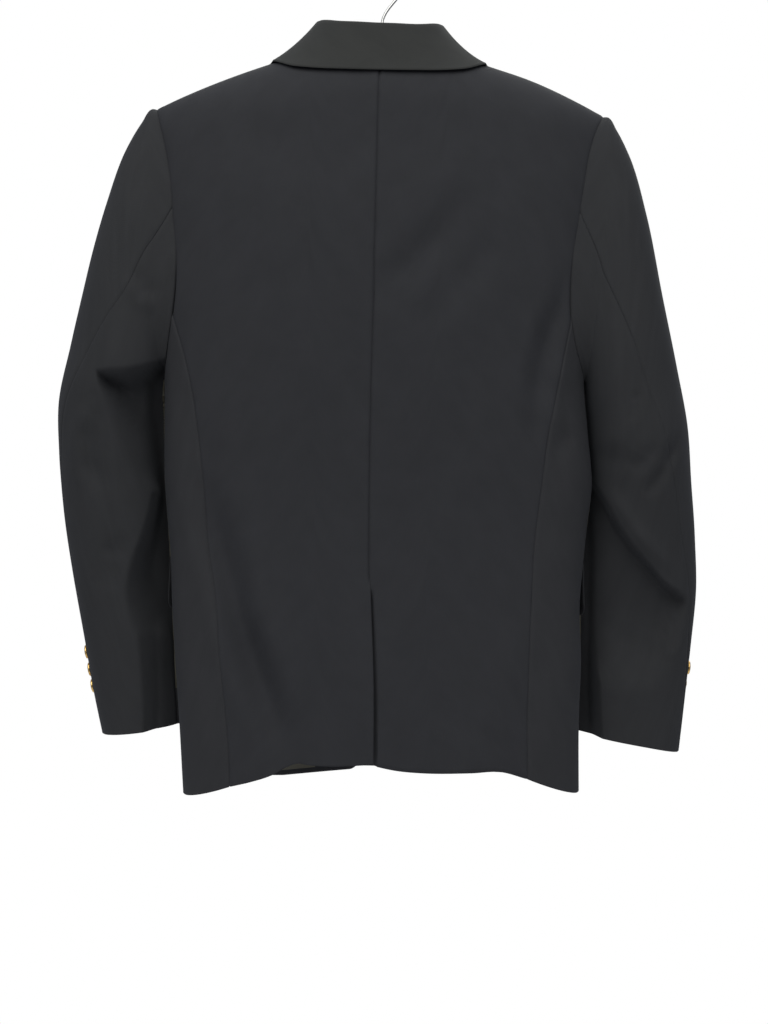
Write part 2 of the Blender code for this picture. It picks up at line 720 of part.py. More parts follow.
def sleeve_grid(side):
    """Rows from the armhole to the cuff; the columns run once round, from the shoulder over the back."""
    first, angles = armhole_loop(side)
    rings = [first]
    for ring in SLEEVES[side]:
        behind = np.sin(np.minimum(angles, math.pi)) ** 2
        rings.append(ring_points(ring, angles + np.radians(ring.turn + ring.seam * behind)))
    rows = between(rings, [ring.rows for ring in SLEEVES[side]])
    along = np.gradient(rows, axis=0)
    around = (np.roll(rows, -1, axis=1) - np.roll(rows, 1, axis=1)) / 2
    normals = unit(np.cross(around, along))
    middle = rows.mean(axis=1, keepdims=True)
    normals *= np.sign((normals * (rows - middle)).sum(axis=(1, 2)).mean())
    behind = smooth((rows[..., 1] - middle[..., 1]) / (20 * MM))
    rows = rows - (fold_depth(SLEEVE_FOLDS[side], rows) * behind)[..., None] * normals
    return rows, normals


def sleeve(side, material_upper, material_under):
    rows, normals = sleeve_grid(side)
    count = rows.shape[1]
    spans = {
        "sleeve_under_": (np.arange(BACK_SEAM, FRONT_SEAM + 1), material_under),
        "sleeve_upper_": (np.arange(FRONT_SEAM, count + BACK_SEAM + 1) % count, material_upper),
    }
    for name, (columns, material) in spans.items():
        grid = pull_in(rows[:, columns], ("top", "left", "right"), SLEEVE_GAP / 2)
        wall(name + SIDES[side], grid, normals[:, columns], material, side)


# ---------------------------------------------------------------- collar and lapels
def collar_line(names):
    """One of the collar's lines through its stations, from the centre back to the last of them."""
    points = np.array([[getattr(station, name) * MM for name in names] for station in COLLAR])
    mirrored = points[1][None] * [-1, 1, 1][: len(names)]
    rows = between(np.concatenate([mirrored, points]), [COLLAR_STEPS] * len(points))
    return rows[COLLAR_STEPS:]


def on_body(side, x, height, lift, face):
    """Points over the body's surface, where face runs smoothly from back to front over the shoulder."""
    height = np.minimum(height, ridge(side, x) - 0.2 * MM)
    points = body_point(side, x, height, BACK)
    points[..., 1] *= face
    return points + lift * body_normal(side, points, BACK)


def collar_half(side):
    """A half of the collar: its roll, neck seam and outer edge, and the face at each place."""
    at_roll, at_edge = COLLAR_REACH[side]
    roll = collar_line(("roll_x", "roll_y", "roll_z")) * [at_roll, 1, 1]
    roll[:, 2] -= COLLAR_DROP[side] * smooth(roll[:, 0] / NECK_X * 2)
    seam = collar_line(("seam_x", "seam_z"))
    edge = collar_line(("edge_x", "edge_z")) * [at_edge, 1]
    faces = np.array([station.face for station in COLLAR], float)
    share = np.interp(np.linspace(0, len(COLLAR) - 1, len(roll)), np.arange(len(COLLAR)), faces)
    return roll, seam, edge, share


def fall_half(side):
    """The grid of one half of the collar's fall, with rows from its roll down and x outward."""
    roll, _, edge, share = collar_half(side)
    edge = on_body(side, edge[:, 0], edge[:, 1], FALL_LIFT, share)
    sags = FALL_SAG[side] * (1 - 0.75 * smooth((np.linspace(0, 1, len(roll)) - SAG_FADES) / (1 - SAG_FADES)))
    columns = []
    for top, low, sag in zip(roll, edge, sags):
        out = unit(np.array([low[0] - top[0], low[1] - top[1], 0]))
        column = [top - out * ROLL_RADIUS * 1.5 - [0, 0, ROLL_RADIUS]]
        for v in FALL_ROWS:
            column.append(top + (low - top) * v - [0, 0, sag * 4 * v * (1 - v)])
        columns.append(column)
    gorge = []
    for x, height in GORGE:
        point, _ = front_surface(side, np.array([x * MM]), np.array([height * MM]), np.array([FALL_LIFT]))
        gorge.append(point[0])
    gorge.insert(0, gorge[0] + [-2.6 * MM, 1.5 * MM, -1.5 * MM])
    columns.append(gorge)
    return np.array(columns).swapaxes(0, 1)


def both_halves(half):
    """A collar grid from its right end round the back to its left, from a function that makes one half."""
    grid = np.concatenate([half(RIGHT)[:, :0:-1] * [-1, 1, 1], half(LEFT)], axis=1)
    return grid, unit(np.cross(np.gradient(grid, axis=0), np.gradient(grid, axis=1)))


def collar_fall(material):
    grid, normals = both_halves(fall_half)
    wall("collar_fall", pull_in(grid, ("top", "left", "right")), normals, material)


def stand_half(side):
    """The grid of one half of the collar's stand, with rows from under its roll to the neck seam."""
    roll, seam, _, share = collar_half(side)
    columns = []
    for top, low, face in zip(roll, seam, share):
        foot = on_body(side, np.array([low[0]]), np.array([low[1]]), 0, face)[0]
        out = unit(np.array([foot[0], foot[1] + 4 * MM, 0]))
        head = top - out * ROLL_RADIUS * 1.5 - [0, 0, ROLL_RADIUS + GAP]
        columns.append([head + (foot - head) * v for v in (0, 0.35, 0.7, 1)])
    return np.array(columns).swapaxes(0, 1)


def collar_stand(material):
    grid, normals = both_halves(stand_half)
    wall("collar_stand", pull_in(grid, ("bottom",), 0.5 * MM), normals, material)


def lapel(side, material):
    rows, columns = 13, 7
    t = np.linspace(0, 1, rows)
    roll_heights = (-108 - 319 * t) * MM
    roll = np.stack([by_x_of_height(FRONT_EDGE, roll_heights), roll_heights], axis=-1)
    edge = even(np.array([[row.x, row.height] for row in LAPEL_EDGE]) * MM, rows - 1)
    top = np.array(GORGE[:1] + GORGE[3:4] + (LAPEL_TIP,)) * MM
    top = even(top, columns - 1)
    s = np.linspace(0, 1, columns)
    bottom = roll[-1] + (edge[-1] - roll[-1]) * s[:, None]
    s3, t3 = s[None, :, None], t[:, None, None]
    plan = (
        (1 - t3) * top[None] + t3 * bottom[None] + (1 - s3) * roll[:, None] + s3 * edge[:, None]
        - (1 - s3) * (1 - t3) * top[0] - s3 * (1 - t3) * top[-1]
        - (1 - s3) * t3 * bottom[0] - s3 * t3 * bottom[-1]
    )
    bulge = LAPEL_ROLL * np.sin(math.pi * np.minimum(s * 1.6, 1))
    bulge = bulge[None] * np.sin(math.pi * np.clip(t, 0.02, 0.98))[:, None]
    bulge *= 1 - underlap(side, plan[..., :1] + [[[0, 0, 0]]]) / UNDERLAP
    points, normals = front_surface(side, plan[..., 0], plan[..., 1], LAPEL_LIFT + bulge)
    points = pull_in(points, ("top",))
    wall("lapel_" + SIDES[side], points, normals, material, side)


# ---------------------------------------------------------------- flaps, buttons, hanger
def flap(side, material):
    rows, columns = 5, 8
    angles = np.linspace(FLAP_ANGLES[0], FLAP_ANGLES[1], columns)[None]
    drop = np.linspace(0, 1, rows)[:, None]
    corner = 7 * MM * np.maximum(np.abs(np.linspace(-1, 1, columns)) - 0.8, 0)[None] / 0.2
    heights = FLAP_TOP - drop * (FLAP_HEIGHT - corner * drop)
    points = loop_point(side, angles + 0 * drop, heights)
    normals = loop_normal(side, points)
    lift = FLAP_WALL + FLAP_CLEAR + FLAP_FLARE[side] * drop + 0 * angles
    points = points + lift[..., None] * normals
    wall("flap_" + SIDES[side], points, normals, material, side, FLAP_WALL)


def button(name, centre, direction, size, material):
    """A domed metal button with a short shank, facing a direction."""
    radius, thick = size
    profile, turns = BUTTON_PROFILE, 14
    vertices = [(0, 0, profile[0][1] * thick)]
    for across, up in profile[1:-1]:
        for k in range(turns):
            angle = 2 * math.pi * k / turns
            vertices.append((across * radius * math.cos(angle), across * radius * math.sin(angle), up * thick))
    vertices.append((0, 0, profile[-1][1] * thick))
    faces = [(0, 1 + (k + 1) % turns, 1 + k) for k in range(turns)]
    for ring in range(len(profile) - 3):
        low, high = 1 + ring * turns, 1 + (ring + 1) * turns
        faces += [(low + k, low + (k + 1) % turns, high + (k + 1) % turns, high + k) for k in range(turns)]
    last = 1 + (len(profile) - 3) * turns
    faces += [(last + k, last + (k + 1) % turns, len(vertices) - 1) for k in range(turns)]
    direction = unit(np.asarray(direction, float))
    across = unit(np.cross([0, 0, 1], direction))
    frame = np.stack([across, np.cross(direction, across), direction])
    return new_object(name, np.array(vertices) @ frame + centre, faces, material)


def buttons(material):
    for index, (x, height) in enumerate(BUTTON_FRONT):
        stand = BUTTON_FRONT_SIZE[1] + GAP
        points, normals = front_surface(LEFT, np.array([x * MM]), np.array([height * MM]), np.array([stand]))
        button(f"button_front_{index + 1}", points[0], normals[0], BUTTON_FRONT_SIZE, material)
    for side, places in BUTTON_CUFF.items():
        grid = np.concatenate(sleeve_grid(side), axis=2) * [side, 1, 1, side, 1, 1]
        for index, (height, around) in enumerate(places):
            column = BACK_SEAM - math.ceil(around)
            share = math.ceil(around) - around
            beside = grid[:, column] + share * (grid[:, column + 1] - grid[:, column])
            beside = beside[np.argsort(beside[:, 2])]
            place = np.array([np.interp(height * MM, beside[:, 2], values) for values in beside.T])
            out = unit(place[3:])
            centre = place[:3] + (BUTTON_CUFF_SIZE[1] + GAP * 1.5) * out
            button(f"button_cuff_{SIDES[side]}_{index + 1}", centre, out, BUTTON_CUFF_SIZE, material)


def hanger_bar(material):
    """A bar that follows the shoulders from inside, wider at its ends."""
    places = np.linspace(-1, 1, 25)
    turns = 10
    vertices, faces = [], []
    for place in places:
        x = place * BAR_END
        end = 1 - 0.45 * smooth((abs(place) - 0.9) / 0.1)
        depth = (BAR_HALF[0] + (BAR_END_HALF - BAR_HALF[0]) * abs(place)) * end
        height = BAR_HALF[1] * end
        top = ridge(LEFT, np.array([x]))[0] - BAR_UNDER
        for k in range(turns):
            angle = 2 * math.pi * k / turns
            vertices.append((x, depth * math.sin(angle), top - height + height * math.cos(angle)))
    for ring in range(len(places) - 1):
        low, high = ring * turns, (ring + 1) * turns
        faces += [(low + k, low + (k + 1) % turns, high + (k + 1) % turns, high + k) for k in range(turns)]
    faces.append(tuple(range(turns))[::-1])
    faces.append(tuple(range(len(vertices) - turns, len(vertices))))
    new_object("hanger_bar", vertices, [face[::-1] for face in faces], material)


def hanger_hook(material):
    """The wire: a stem from the bar, a bend out to the side, and three quarters of a circle."""
    bar_top = ridge(LEFT, np.array([0.0]))[0] - BAR_UNDER + HANG
    eye = -HOOK_RADIUS + WIRE
    points = [(0, bar_top + GAP), (0, bar_top + 12 * MM)]
    points += [(x * MM, height * MM) for x, height in HOOK_BEND]
    for degrees in range(-135, -371, -12):
        angle = math.radians(degrees)
        points.append((HOOK_RADIUS * math.cos(angle), eye + HOOK_RADIUS * math.sin(angle)))
    curve = bpy.data.curves.new("hanger_hook", "CURVE")
    curve.dimensions = "3D"
    curve.bevel_depth = WIRE
    curve.bevel_resolution = 2
    curve.use_fill_caps = True
    spline = curve.splines.new("POLY")
    spline.points.add(len(points) - 1)
    for point, (x, height) in zip(spline.points, points):
        point.co = (x, 0, height, 1)
    item = bpy.data.objects.new("hanger_hook", curve)
    curve.materials.append(material)
    bpy.context.scene.collection.objects.link(item)


def finish(name, colour, roughness, metallic=0.0):
    material = bpy.data.materials.new(name)
    material.use_nodes = True
    shader = material.node_tree.nodes["Principled BSDF"]
    shader.inputs["Base Color"].default_value = (*colour, 1)
    shader.inputs["Roughness"].default_value = roughness
    shader.inputs["Metallic"].default_value = metallic
    return material


def main():
    for item in list(bpy.data.objects):
        bpy.data.objects.remove(item, do_unlink=True)
    back = finish("back_wool", (0.029, 0.031, 0.035), 0.85)
    front = finish("front_wool", (0.029, 0.031, 0.035), 0.85)
    sides = finish("side_wool", (0.027, 0.029, 0.033), 0.85)
    upper = finish("sleeve_upper_wool", (0.028, 0.030, 0.033), 0.85)
    under = finish("sleeve_under_wool", (0.027, 0.029, 0.032), 0.85)
    collar = finish("collar_wool", (0.036, 0.039, 0.042), 0.85)
    lapels = finish("lapel_wool", (0.031, 0.033, 0.037), 0.85)
    flaps = finish("flap_wool", (0.027, 0.029, 0.033), 0.85)
    brass = finish("brass", (0.72, 0.49, 0.18), 0.3, 1.0)
    bar = finish("black_plastic", (0.02, 0.02, 0.02), 0.45)
    steel = finish("steel_wire", (0.62, 0.62, 0.62), 0.3, 1.0)
    for side in (LEFT, RIGHT):
        back_panel(side, back)
        side_panel(side, sides)
        front_panel(side, front)
        sleeve(side, upper, under)
        lapel(side, lapels)
        flap(side, flaps)
    collar_fall(collar)
    collar_stand(collar)
    buttons(brass)
    hanger_bar(bar)
    hanger_hook(steel)


main()
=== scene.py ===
"""The looks of a navy blazer on a hanger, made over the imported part.

Tables are in millimetres, in the pattern's own heights, which HANG lowers to the hook's seat. +Z is up,
the garment's front faces -Y, the wearer's left is +X, and on each side x runs outward from the middle.
"""

import math
from collections import namedtuple

import bpy
import numpy as np
from mathutils import Matrix, Vector


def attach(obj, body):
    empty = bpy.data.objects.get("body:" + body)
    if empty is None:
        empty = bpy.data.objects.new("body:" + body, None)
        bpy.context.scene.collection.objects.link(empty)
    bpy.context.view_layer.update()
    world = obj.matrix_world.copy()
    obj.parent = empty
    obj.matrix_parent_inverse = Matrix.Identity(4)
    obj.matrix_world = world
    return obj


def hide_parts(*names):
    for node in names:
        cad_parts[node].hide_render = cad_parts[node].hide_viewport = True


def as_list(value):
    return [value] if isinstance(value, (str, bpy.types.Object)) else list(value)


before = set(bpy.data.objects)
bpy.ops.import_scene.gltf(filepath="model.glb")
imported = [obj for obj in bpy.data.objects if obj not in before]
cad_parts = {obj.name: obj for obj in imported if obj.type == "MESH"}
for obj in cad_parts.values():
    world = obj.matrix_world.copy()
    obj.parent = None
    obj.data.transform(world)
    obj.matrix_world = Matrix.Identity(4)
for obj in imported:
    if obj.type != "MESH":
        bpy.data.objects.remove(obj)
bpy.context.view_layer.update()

MM = 0.001
HANG = -13 * MM
CLOTH = 1.6 * MM  # the wall of the cloth with its inner layers
FINE = 8  # how many times finer the grids are than the solids'
LEFT, RIGHT = 1, -1
BACK, FRONT = 1, -1
SIDES = {LEFT: "left", RIGHT: "right"}


def table_of(kind, *values):
    return tuple(kind(*row) for row in values)


# ---------------------------------------------------------------- the body's form
Section = namedtuple("Section", "height left right back front round")
BODY = table_of(Section,
    (-55, 232, 232, 62, 60, 2.2),
    (-110, 232, 232, 65, 64, 2.3),
    (-135, 231, 231, 68, 68, 2.5),
    (-174, 224.5, 223, 70, 72, 2.8),
    (-215, 221.5, 219, 73, 76, 3.0),
    (-281, 220, 216.5, 75, 80, 3.0),
    (-346, 215.5, 212, 75, 80, 3.0),
    (-396, 210.6, 208.5, 73, 78, 3.0),
    (-450, 209.4, 213.5, 70, 75, 3.0),
    (-506, 208.3, 219, 67, 72, 2.9),
    (-545, 205, 215, 66, 71, 2.8),
    (-580, 201.2, 212, 66.5, 71, 2.8),
    (-625, 199, 209, 68, 72, 2.8),
    (-680, 195, 211.5, 70, 74, 2.8),
    (-730, 190.6, 210.5, 72, 76, 2.8),
    (-830, 183, 212, 74, 78, 2.8),
)
SHOULDER_FALL = 70 * MM

Shoulder = namedtuple("Shoulder", "x left right")
SHOULDER = table_of(Shoulder,
    (0, -66, -66), (40, -69, -69), (72, -77.5, -77), (110, -89.6, -88.6), (150, -104, -101.2),
    (200, -125, -123), (224, -136.2, -135), (240, -144, -143.5),
)
Edge = namedtuple("Edge", "x height")
NECK_X, NECK_BACK = 72 * MM, -94 * MM
SHOULDER_X = {LEFT: 224 * MM, RIGHT: 223.5 * MM}

Line = namedtuple("Line", "height left right")
ARMHOLE = table_of(Line,
    (-135, 224, 223.5), (-155, 218, 214), (-174, 212.6, 208), (-215, 204, 201), (-250, 200.5, 196),
    (-281, 197, 191.5), (-306, 196.5, 190), (-331, 198.2, 190.3), (-346, 200, 191.5), (-371, 203.8, 197),
    (-396, 208, 206), (-408, 210.4, 208.7),
)
ARMHOLE_TOP = {LEFT: -136 * MM, RIGHT: -134.5 * MM}
ARMHOLE_END = {LEFT: -408 * MM, RIGHT: -402 * MM}
SIDE_BACK = table_of(Line,
    (-346, 200, 191.5), (-378, 189, 185), (-423, 177.7, 176.5), (-456, 172.2, 170.5), (-509, 165.4, 164.5),
    (-572, 159.3, 158.2), (-611, 152.5, 157), (-691, 144.4, 155), (-734, 138.8, 154.5),
    (-777, 134.5, 155.5), (-830, 133, 155.5),
)
SIDE_FRONT = table_of(Line,
    (-346, 200, 191.5), (-400, 189, 184), (-520, 176, 176), (-620, 168, 172), (-830, 152, 166),
)
CENTRE_BACK = table_of(Edge,
    (0.7, -94), (2, -330), (2.5, -506), (0.9, -606), (-3.8, -700), (-5.2, -780),
)
HEM_BACK = {
    LEFT: table_of(Edge,
        (-8, -777), (12, -778.8), (35, -780), (56, -779.3), (68, -778.2), (78, -782), (90, -789),
        (112, -797.3), (134, -803.5),
    ),
    RIGHT: table_of(Edge,
        (7, -779), (25, -782.5), (56, -785), (100, -784.5), (130, -783.5), (155.5, -790.5),
    ),
}
HEM_SIDE = {LEFT: -818 * MM, RIGHT: -809 * MM}
HEM_FRONT = {LEFT: -812 * MM, RIGHT: -804 * MM}
FRONT_EDGE = table_of(Edge,
    (72, -77), (68, -88), (60, -108), (41, -187), (12, -307), (-17, -428), (-20, -470), (-20, -560),
    (-18, -620), (-12, -675), (-8, -715), (-2, -752), (7, -785),
)
SWEEP_RISE, SWEEP_RUN = 8 * MM, 82 * MM
CORNER_RISE, CORNER_RUN = 11 * MM, 13 * MM
UNDERLAP = 6.2 * MM
UNDERLAP_FROM, UNDERLAP_TO = 80 * MM, 20 * MM

VENT_TOP = -606 * MM
VENT_DEPTH = 5.5 * MM
VENT_GROOVE = (2.0 * MM, 2.8 * MM)  # its width at its top and at the hem
VENT_UNDERLAY, UNDERLAY_COLUMNS = 34 * MM, 12
VENT_LIFT, VENT_LIFT_WIDTH = 1.8 * MM, 16 * MM  # how far the left back stands off over the right
CENTRE_SEAM_WIDTH, CENTRE_SEAM_DEPTH = 1.2 * MM, 1.2 * MM
ROLL_END = -428 * MM
DRAWN_IN, DRAWN_IN_WIDTH = 1.6 * MM, 12 * MM  # the front's edge above the roll's end, under the lapel

# ---------------------------------------------------------------- sewing and lining
SEWN_ROWS, FREE_ROWS = (0.7, 1.8), (1.0,)  # extra rows beside a sewn and a free edge, off it
SEAM_RISE, SEAM_RISE_AT, SEAM_RISE_WIDTH = 0.22 * MM, 4.6 * MM, 2.4 * MM  # the low rise beside a seam
SEAM_WIDTH, SEAM_SPREAD = 0.7 * MM, 0.4  # half a seam's width, and how much its depth adds
CLOSED_SEAM = 0.5  # a dip of so much or more leaves no round edge
ARMHOLE_DIP, ARMHOLE_DEEPER, LOW_ARMHOLE = 0.5, 1.6, -270 * MM  # and how much deeper below
SHOULDER_DIP, SIDE_DIP = 0.35, 0.8
CUFF_DIP, CUFF_VENT_DIP, CUFF_VENT_TOP = 0.6, 0.8, -648 * MM  # the sleeve's seams, deeper at the cuff
HEM_TURNED, FRONT_TURNED, CUFF_TURNED = 32 * MM, 30 * MM, 34 * MM  # the wool turned up inside
VENT_FACED = {LEFT: 36 * MM, RIGHT: 62 * MM}
FACING, FACING_WIDER = 54 * MM, 50 * MM  # the front's facing at the hem, and what it gains above
SHARP_EDGE = math.radians(66)

# ---------------------------------------------------------------- the sleeves' form
Ring = namedtuple("Ring", "out_x out_z in_x in_z middle depth seam turn rows")
SLEEVES = {
    LEFT: table_of(Ring,
        (228, -135.6, 211, -409.6, 0, 48.5, 14, 0, 1),
        (238, -149, 211.2, -411.5, 0, 51, 14, 0, 1),
        (252.6, -175, 211.4, -414.5, 0, 53, 14, 0, 1),
        (271.4, -228.6, 212, -420.5, -2, 56, 12, 0, 2),
        (290.6, -301, 211.8, -430, -7, 60, 0, 0, 2),
        (306.4, -369.7, 211.6, -445, -13, 61, 0, -16, 3),
        (319, -430.9, 211.4, -466, -18, 60, 0, -35, 3),
        (318.6, -481.3, 211, -503, -22, 58, 0, -47, 3),
        (313.4, -539.1, 207.5, -549, -25, 55, 0, -57, 3),
        (303.7, -602.1, 203.5, -605, -28, 52, 0, -62, 3),
        (291.8, -665.4, 200.5, -664, -31, 49, 0, -65, 2),
        (281.4, -722.3, 197.5, -717, -34, 46, 0, -67, 2),
        (271.7, -765.2, 194.8, -755.4, -36, 44, 0, -68, 2),
    ),
    RIGHT: table_of(Ring,
        (228.5, -135.2, 209.8, -403.6, 0, 48.5, 20, 0, 1),
        (236.5, -147, 210, -405.6, 0, 51, 22, 0, 1),
        (249.5, -172, 210.5, -409, 0, 53, 22, 0, 1),
        (268.3, -231.8, 211.3, -415, -2, 57, 18, 0, 2),
        (285.9, -311.3, 212.4, -426, -5, 60, 11, 0, 2),
        (302.8, -383.1, 214.5, -443, -10, 61, 5, 0, 3),
        (315.6, -443.2, 217, -470, -14, 60, 0, -6, 3),
        (321.9, -499.6, 220.2, -509, -20, 56, 0, -16, 4),
        (328, -552.3, 216.4, -557, -27, 51, 0, -25, 4),
        (331.8, -608.4, 213.4, -609, -33, 46, 0, -38, 3),
        (328.6, -664.9, 214.5, -662, -38, 41, 0, -50, 2),
        (324, -718.4, 215, -712.2, -41, 37, 0, -59, 2),
        (318.9, -773.9, 215, -755.8, -43, 34, 0, -64, 2),
    ),
}
SLEEVE_ROUND = 2.25
SEAM_TUCK = 0.7 * MM  # how far the sleeve reaches in under the body's edge

# ---------------------------------------------------------------- creases
CREASE_FREE = {LEFT: 26 * MM, RIGHT: 12 * MM}  # how far off the armhole a crease has its full height
SHOULDER_FREE = 45 * MM
SLEEVE_FREE = 28 * MM  # the same below the sleeve's head
LIP_HEIGHT, LIP_AT, LIP_WIDTH = 0.16, 2.0, 0.8  # the low lip beside a trough, in its depth and widths
CREASE_ENDS = 3.2  # a crease has its full height after 1 / so much of its length
SLOW_UNEVEN, QUICK_UNEVEN = 0.22, 0.1  # how much a crease's height wavers along it
# kind is trough or ridge; the path runs through x and height as seen from behind or before
Crease = namedtuple("Crease", "kind face width depth path")
BODY_CREASES = {
    LEFT: table_of(Crease,
        ("trough", BACK, 15, 12.0, (
            (172, -488), (161, -520), (150, -560), (135, -610), (119, -662), (99, -714), (84, -756),
            (72, -812),
        )),
        ("ridge", BACK, 17, 3.0, ((124, -560), (108, -640), (88, -700), (66, -740))),
        ("ridge", BACK, 40, 2.4, ((150, -190), (90, -240), (20, -330))),
        ("trough", BACK, 14, 1.6, ((190, -410), (172, -455), (160, -520))),
        ("trough", BACK, 16, 1.4, ((46, -640), (50, -710), (44, -800))),
        ("trough", FRONT, 15, 4.0, ((184, -330), (168, -390), (150, -440))),
        ("trough", FRONT, 13, 2.6, ((30, -452), (75, -430), (125, -395))),
        ("ridge", FRONT, 18, 2.6, ((30, -470), (80, -500), (140, -520))),
        ("trough", FRONT, 18, 4.0, ((120, -640), (96, -720), (86, -825))),
        ("trough", FRONT, 14, 2.2, ((10, -575), (22, -650), (44, -760))),
    ),
    RIGHT: table_of(Crease,
        ("trough", BACK, 10, 5.5, (
            (194, -284), (187, -308), (177, -336), (167, -366), (161, -395), (158, -424), (156, -456),
            (155, -490),
        )),
        ("ridge", BACK, 18, 2.4, ((186, -372), (176, -412), (166, -452))),
        ("trough", BACK, 17, 4.4, ((84, -216), (60, -262), (36, -294), (16, -318), (2, -348))),
        ("trough", BACK, 17, 2.4, ((124, -246), (96, -290), (66, -330), (40, -366))),
        ("ridge", BACK, 26, 2.0, ((120, -170), (80, -200), (36, -262))),
        ("trough", BACK, 22, 2.4, ((42, -560), (70, -650), (88, -730), (96, -800))),
        ("ridge", BACK, 18, 1.8, ((146, -620), (134, -710), (130, -800))),
        ("trough", BACK, 10, 3.0, ((196, -452), (186, -462), (180, -490))),
        ("trough", FRONT, 15, 4.2, ((178, -322), (160, -380), (146, -430))),
        ("trough", FRONT, 14, 2.8, ((44, -470), (84, -446), (134, -412))),
        ("trough", FRONT, 19, 3.8, ((128, -640), (112, -720), (100, -815))),
        ("ridge", FRONT, 17, 2.0, ((60, -600), (64, -690), (70, -800))),
    ),
}
SLEEVE_CREASES = {
    LEFT: table_of(Crease,
        ("ridge", BACK, 10, 3.4, ((230, -420), (240, -414), (250, -416))),
        ("ridge", BACK, 10, 3.4, ((272, -424), (287, -448), (292, -486), (286, -524))),
        ("trough", BACK, 9, 3.0, ((296, -436), (283, -468), (276, -500), (262, -524))),
        ("trough", BACK, 14, 0.8, ((292, -498), (262, -504), (232, -508))),
        ("ridge", BACK, 34, 4.5, ((330, -396), (290, -408), (250, -404), (200, -396))),
        ("ridge", BACK, 62, 7.0, ((350, -790), (260, -812), (140, -790))),
        ("trough", BACK, 12, 2.4, ((252, -560), (258, -590), (262, -622))),
        ("trough", BACK, 8, 1.6, ((236, -300), (226, -318), (212, -332))),
        ("ridge", BACK, 8, 1.6, ((246, -308), (232, -330), (214, -346))),
        ("trough", FRONT, 10, 7.0, ((226, -446), (262, -452), (300, -438))),
        ("trough", FRONT, 10, 5.5, ((222, -492), (256, -500), (292, -492))),
        ("ridge", FRONT, 12, 4.0, ((220, -470), (258, -476), (304, -464))),
        ("trough", FRONT, 13, 4.0, ((218, -560), (250, -590), (270, -640))),
    ),
    RIGHT: table_of(Crease,
        ("ridge", BACK, 8, 4.0, (
            (218, -488), (232, -510), (250, -535), (268, -557), (288, -578), (309, -594),
        )),
        ("trough", BACK, 10, 3.0, ((206, -462), (222, -474), (238, -478), (256, -474))),
        ("ridge", BACK, 36, 3.4, ((340, -440), (290, -456), (250, -456), (190, -440))),
        ("ridge", BACK, 62, 5.0, ((380, -790), (280, -812), (170, -790))),
        ("trough", BACK, 6, 4.4, ((304, -446), (292, -474), (281, -495), (268, -518))),
        ("trough", BACK, 7, 1.8, ((282, -462), (266, -478), (250, -490))),
        ("trough", BACK, 5, 1.1, ((252, -408), (256, -424), (250, -444))),
        ("trough", BACK, 15, 3.0, ((292, -626), (286, -661), (278, -712))),
        ("trough", BACK, 12, 2.0, ((258, -640), (262, -672), (268, -708))),
        ("ridge", BACK, 5, 1.6, ((298, -680), (309, -668), (322, -656))),
        ("trough", FRONT, 10, 7.0, ((230, -458), (264, -466), (304, -452))),
        ("trough", FRONT, 11, 5.5, ((232, -508), (266, -520), (306, -512))),
        ("ridge", FRONT, 12, 4.0, ((228, -482), (262, -492), (306, -480))),
        ("trough", FRONT, 13, 4.0, ((238, -580), (272, -610), (300, -660))),
    ),
}

# a hollow lies behind the cloth round it; a row of its outline is x, height and its slope's width
Hollow = namedtuple("Hollow", "depth outline")
HOLLOW_ROOM = 1.3  # how far a hollow may go, in the sleeve's half depth
HOLLOW_START = 9 * MM  # how far behind the sleeve's middle a hollow may press fully
HOLLOW_EDGE = 1.5 * MM  # from so deep on the cloth faces as the hollow does
SLEEVE_HOLLOWS = {
    LEFT: (
        Hollow(50, (  # beside the body, under the arm
            (214, -390, 6), (223, -401, 7), (233, -409, 11), (235, -429, 13), (234, -453, 14),
            (231, -478, 14), (226, -498, 12), (221, -515, 9), (214, -530, 9), (199, -530, 9),
            (194, -458, 9), (198, -390, 9),
        )),
        Hollow(42, (  # under the pouch of the elbow
            (273, -402, 12), (262, -400, 18), (250, -399, 22), (238, -397, 20), (228, -395, 14),
            (214, -391, 7), (204, -393, 8), (200, -460, 14), (206, -522, 24), (222, -520, 34),
            (238, -506, 44), (250, -484, 46), (259, -458, 38), (266, -434, 28), (272, -416, 18),
        )),
        Hollow(44, (  # the shadow under the elbow
            (197, -500, 8), (211, -502, 8), (219, -516, 9), (224, -540, 10), (231, -565, 14),
            (239, -587, 19), (245, -612, 26), (243, -640, 34), (232, -668, 40), (200, -680, 40),
            (188, -660, 16), (190, -560, 8),
        )),
        Hollow(20, (  # beside the body, down to the cuff
            (197, -540, 8), (222, -560, 10), (234, -600, 18), (236, -640, 20), (230, -690, 16),
            (226, -740, 13), (222, -795, 12), (188, -795, 11), (191, -627, 11),
        )),
    ),
    RIGHT: (
        Hollow(24, (  # under the roll of the elbow
            (216, -496, 5), (222, -501, 4), (231, -516, 3.5), (245, -543, 3.5), (261, -565, 3.5),
            (279, -584, 4), (294, -599, 6), (314, -611, 12), (323, -626, 24), (316, -676, 60),
            (290, -712, 90), (250, -716, 90), (218, -690, 30), (207, -600, 10), (204, -519, 8),
        )),
        Hollow(30, (  # beside the body, down to the cuff
            (216, -506, 7), (223, -516, 8), (228, -539, 9), (231, -579, 10), (232, -639, 10),
            (234, -719, 10), (237, -795, 10), (208, -795, 9), (202, -506, 9),
        )),
    ),
}
SLEEVE_COLUMNS_BACK, SLEEVE_COLUMNS_FRONT = 5, 15  # where its two seams run, in the solids' columns

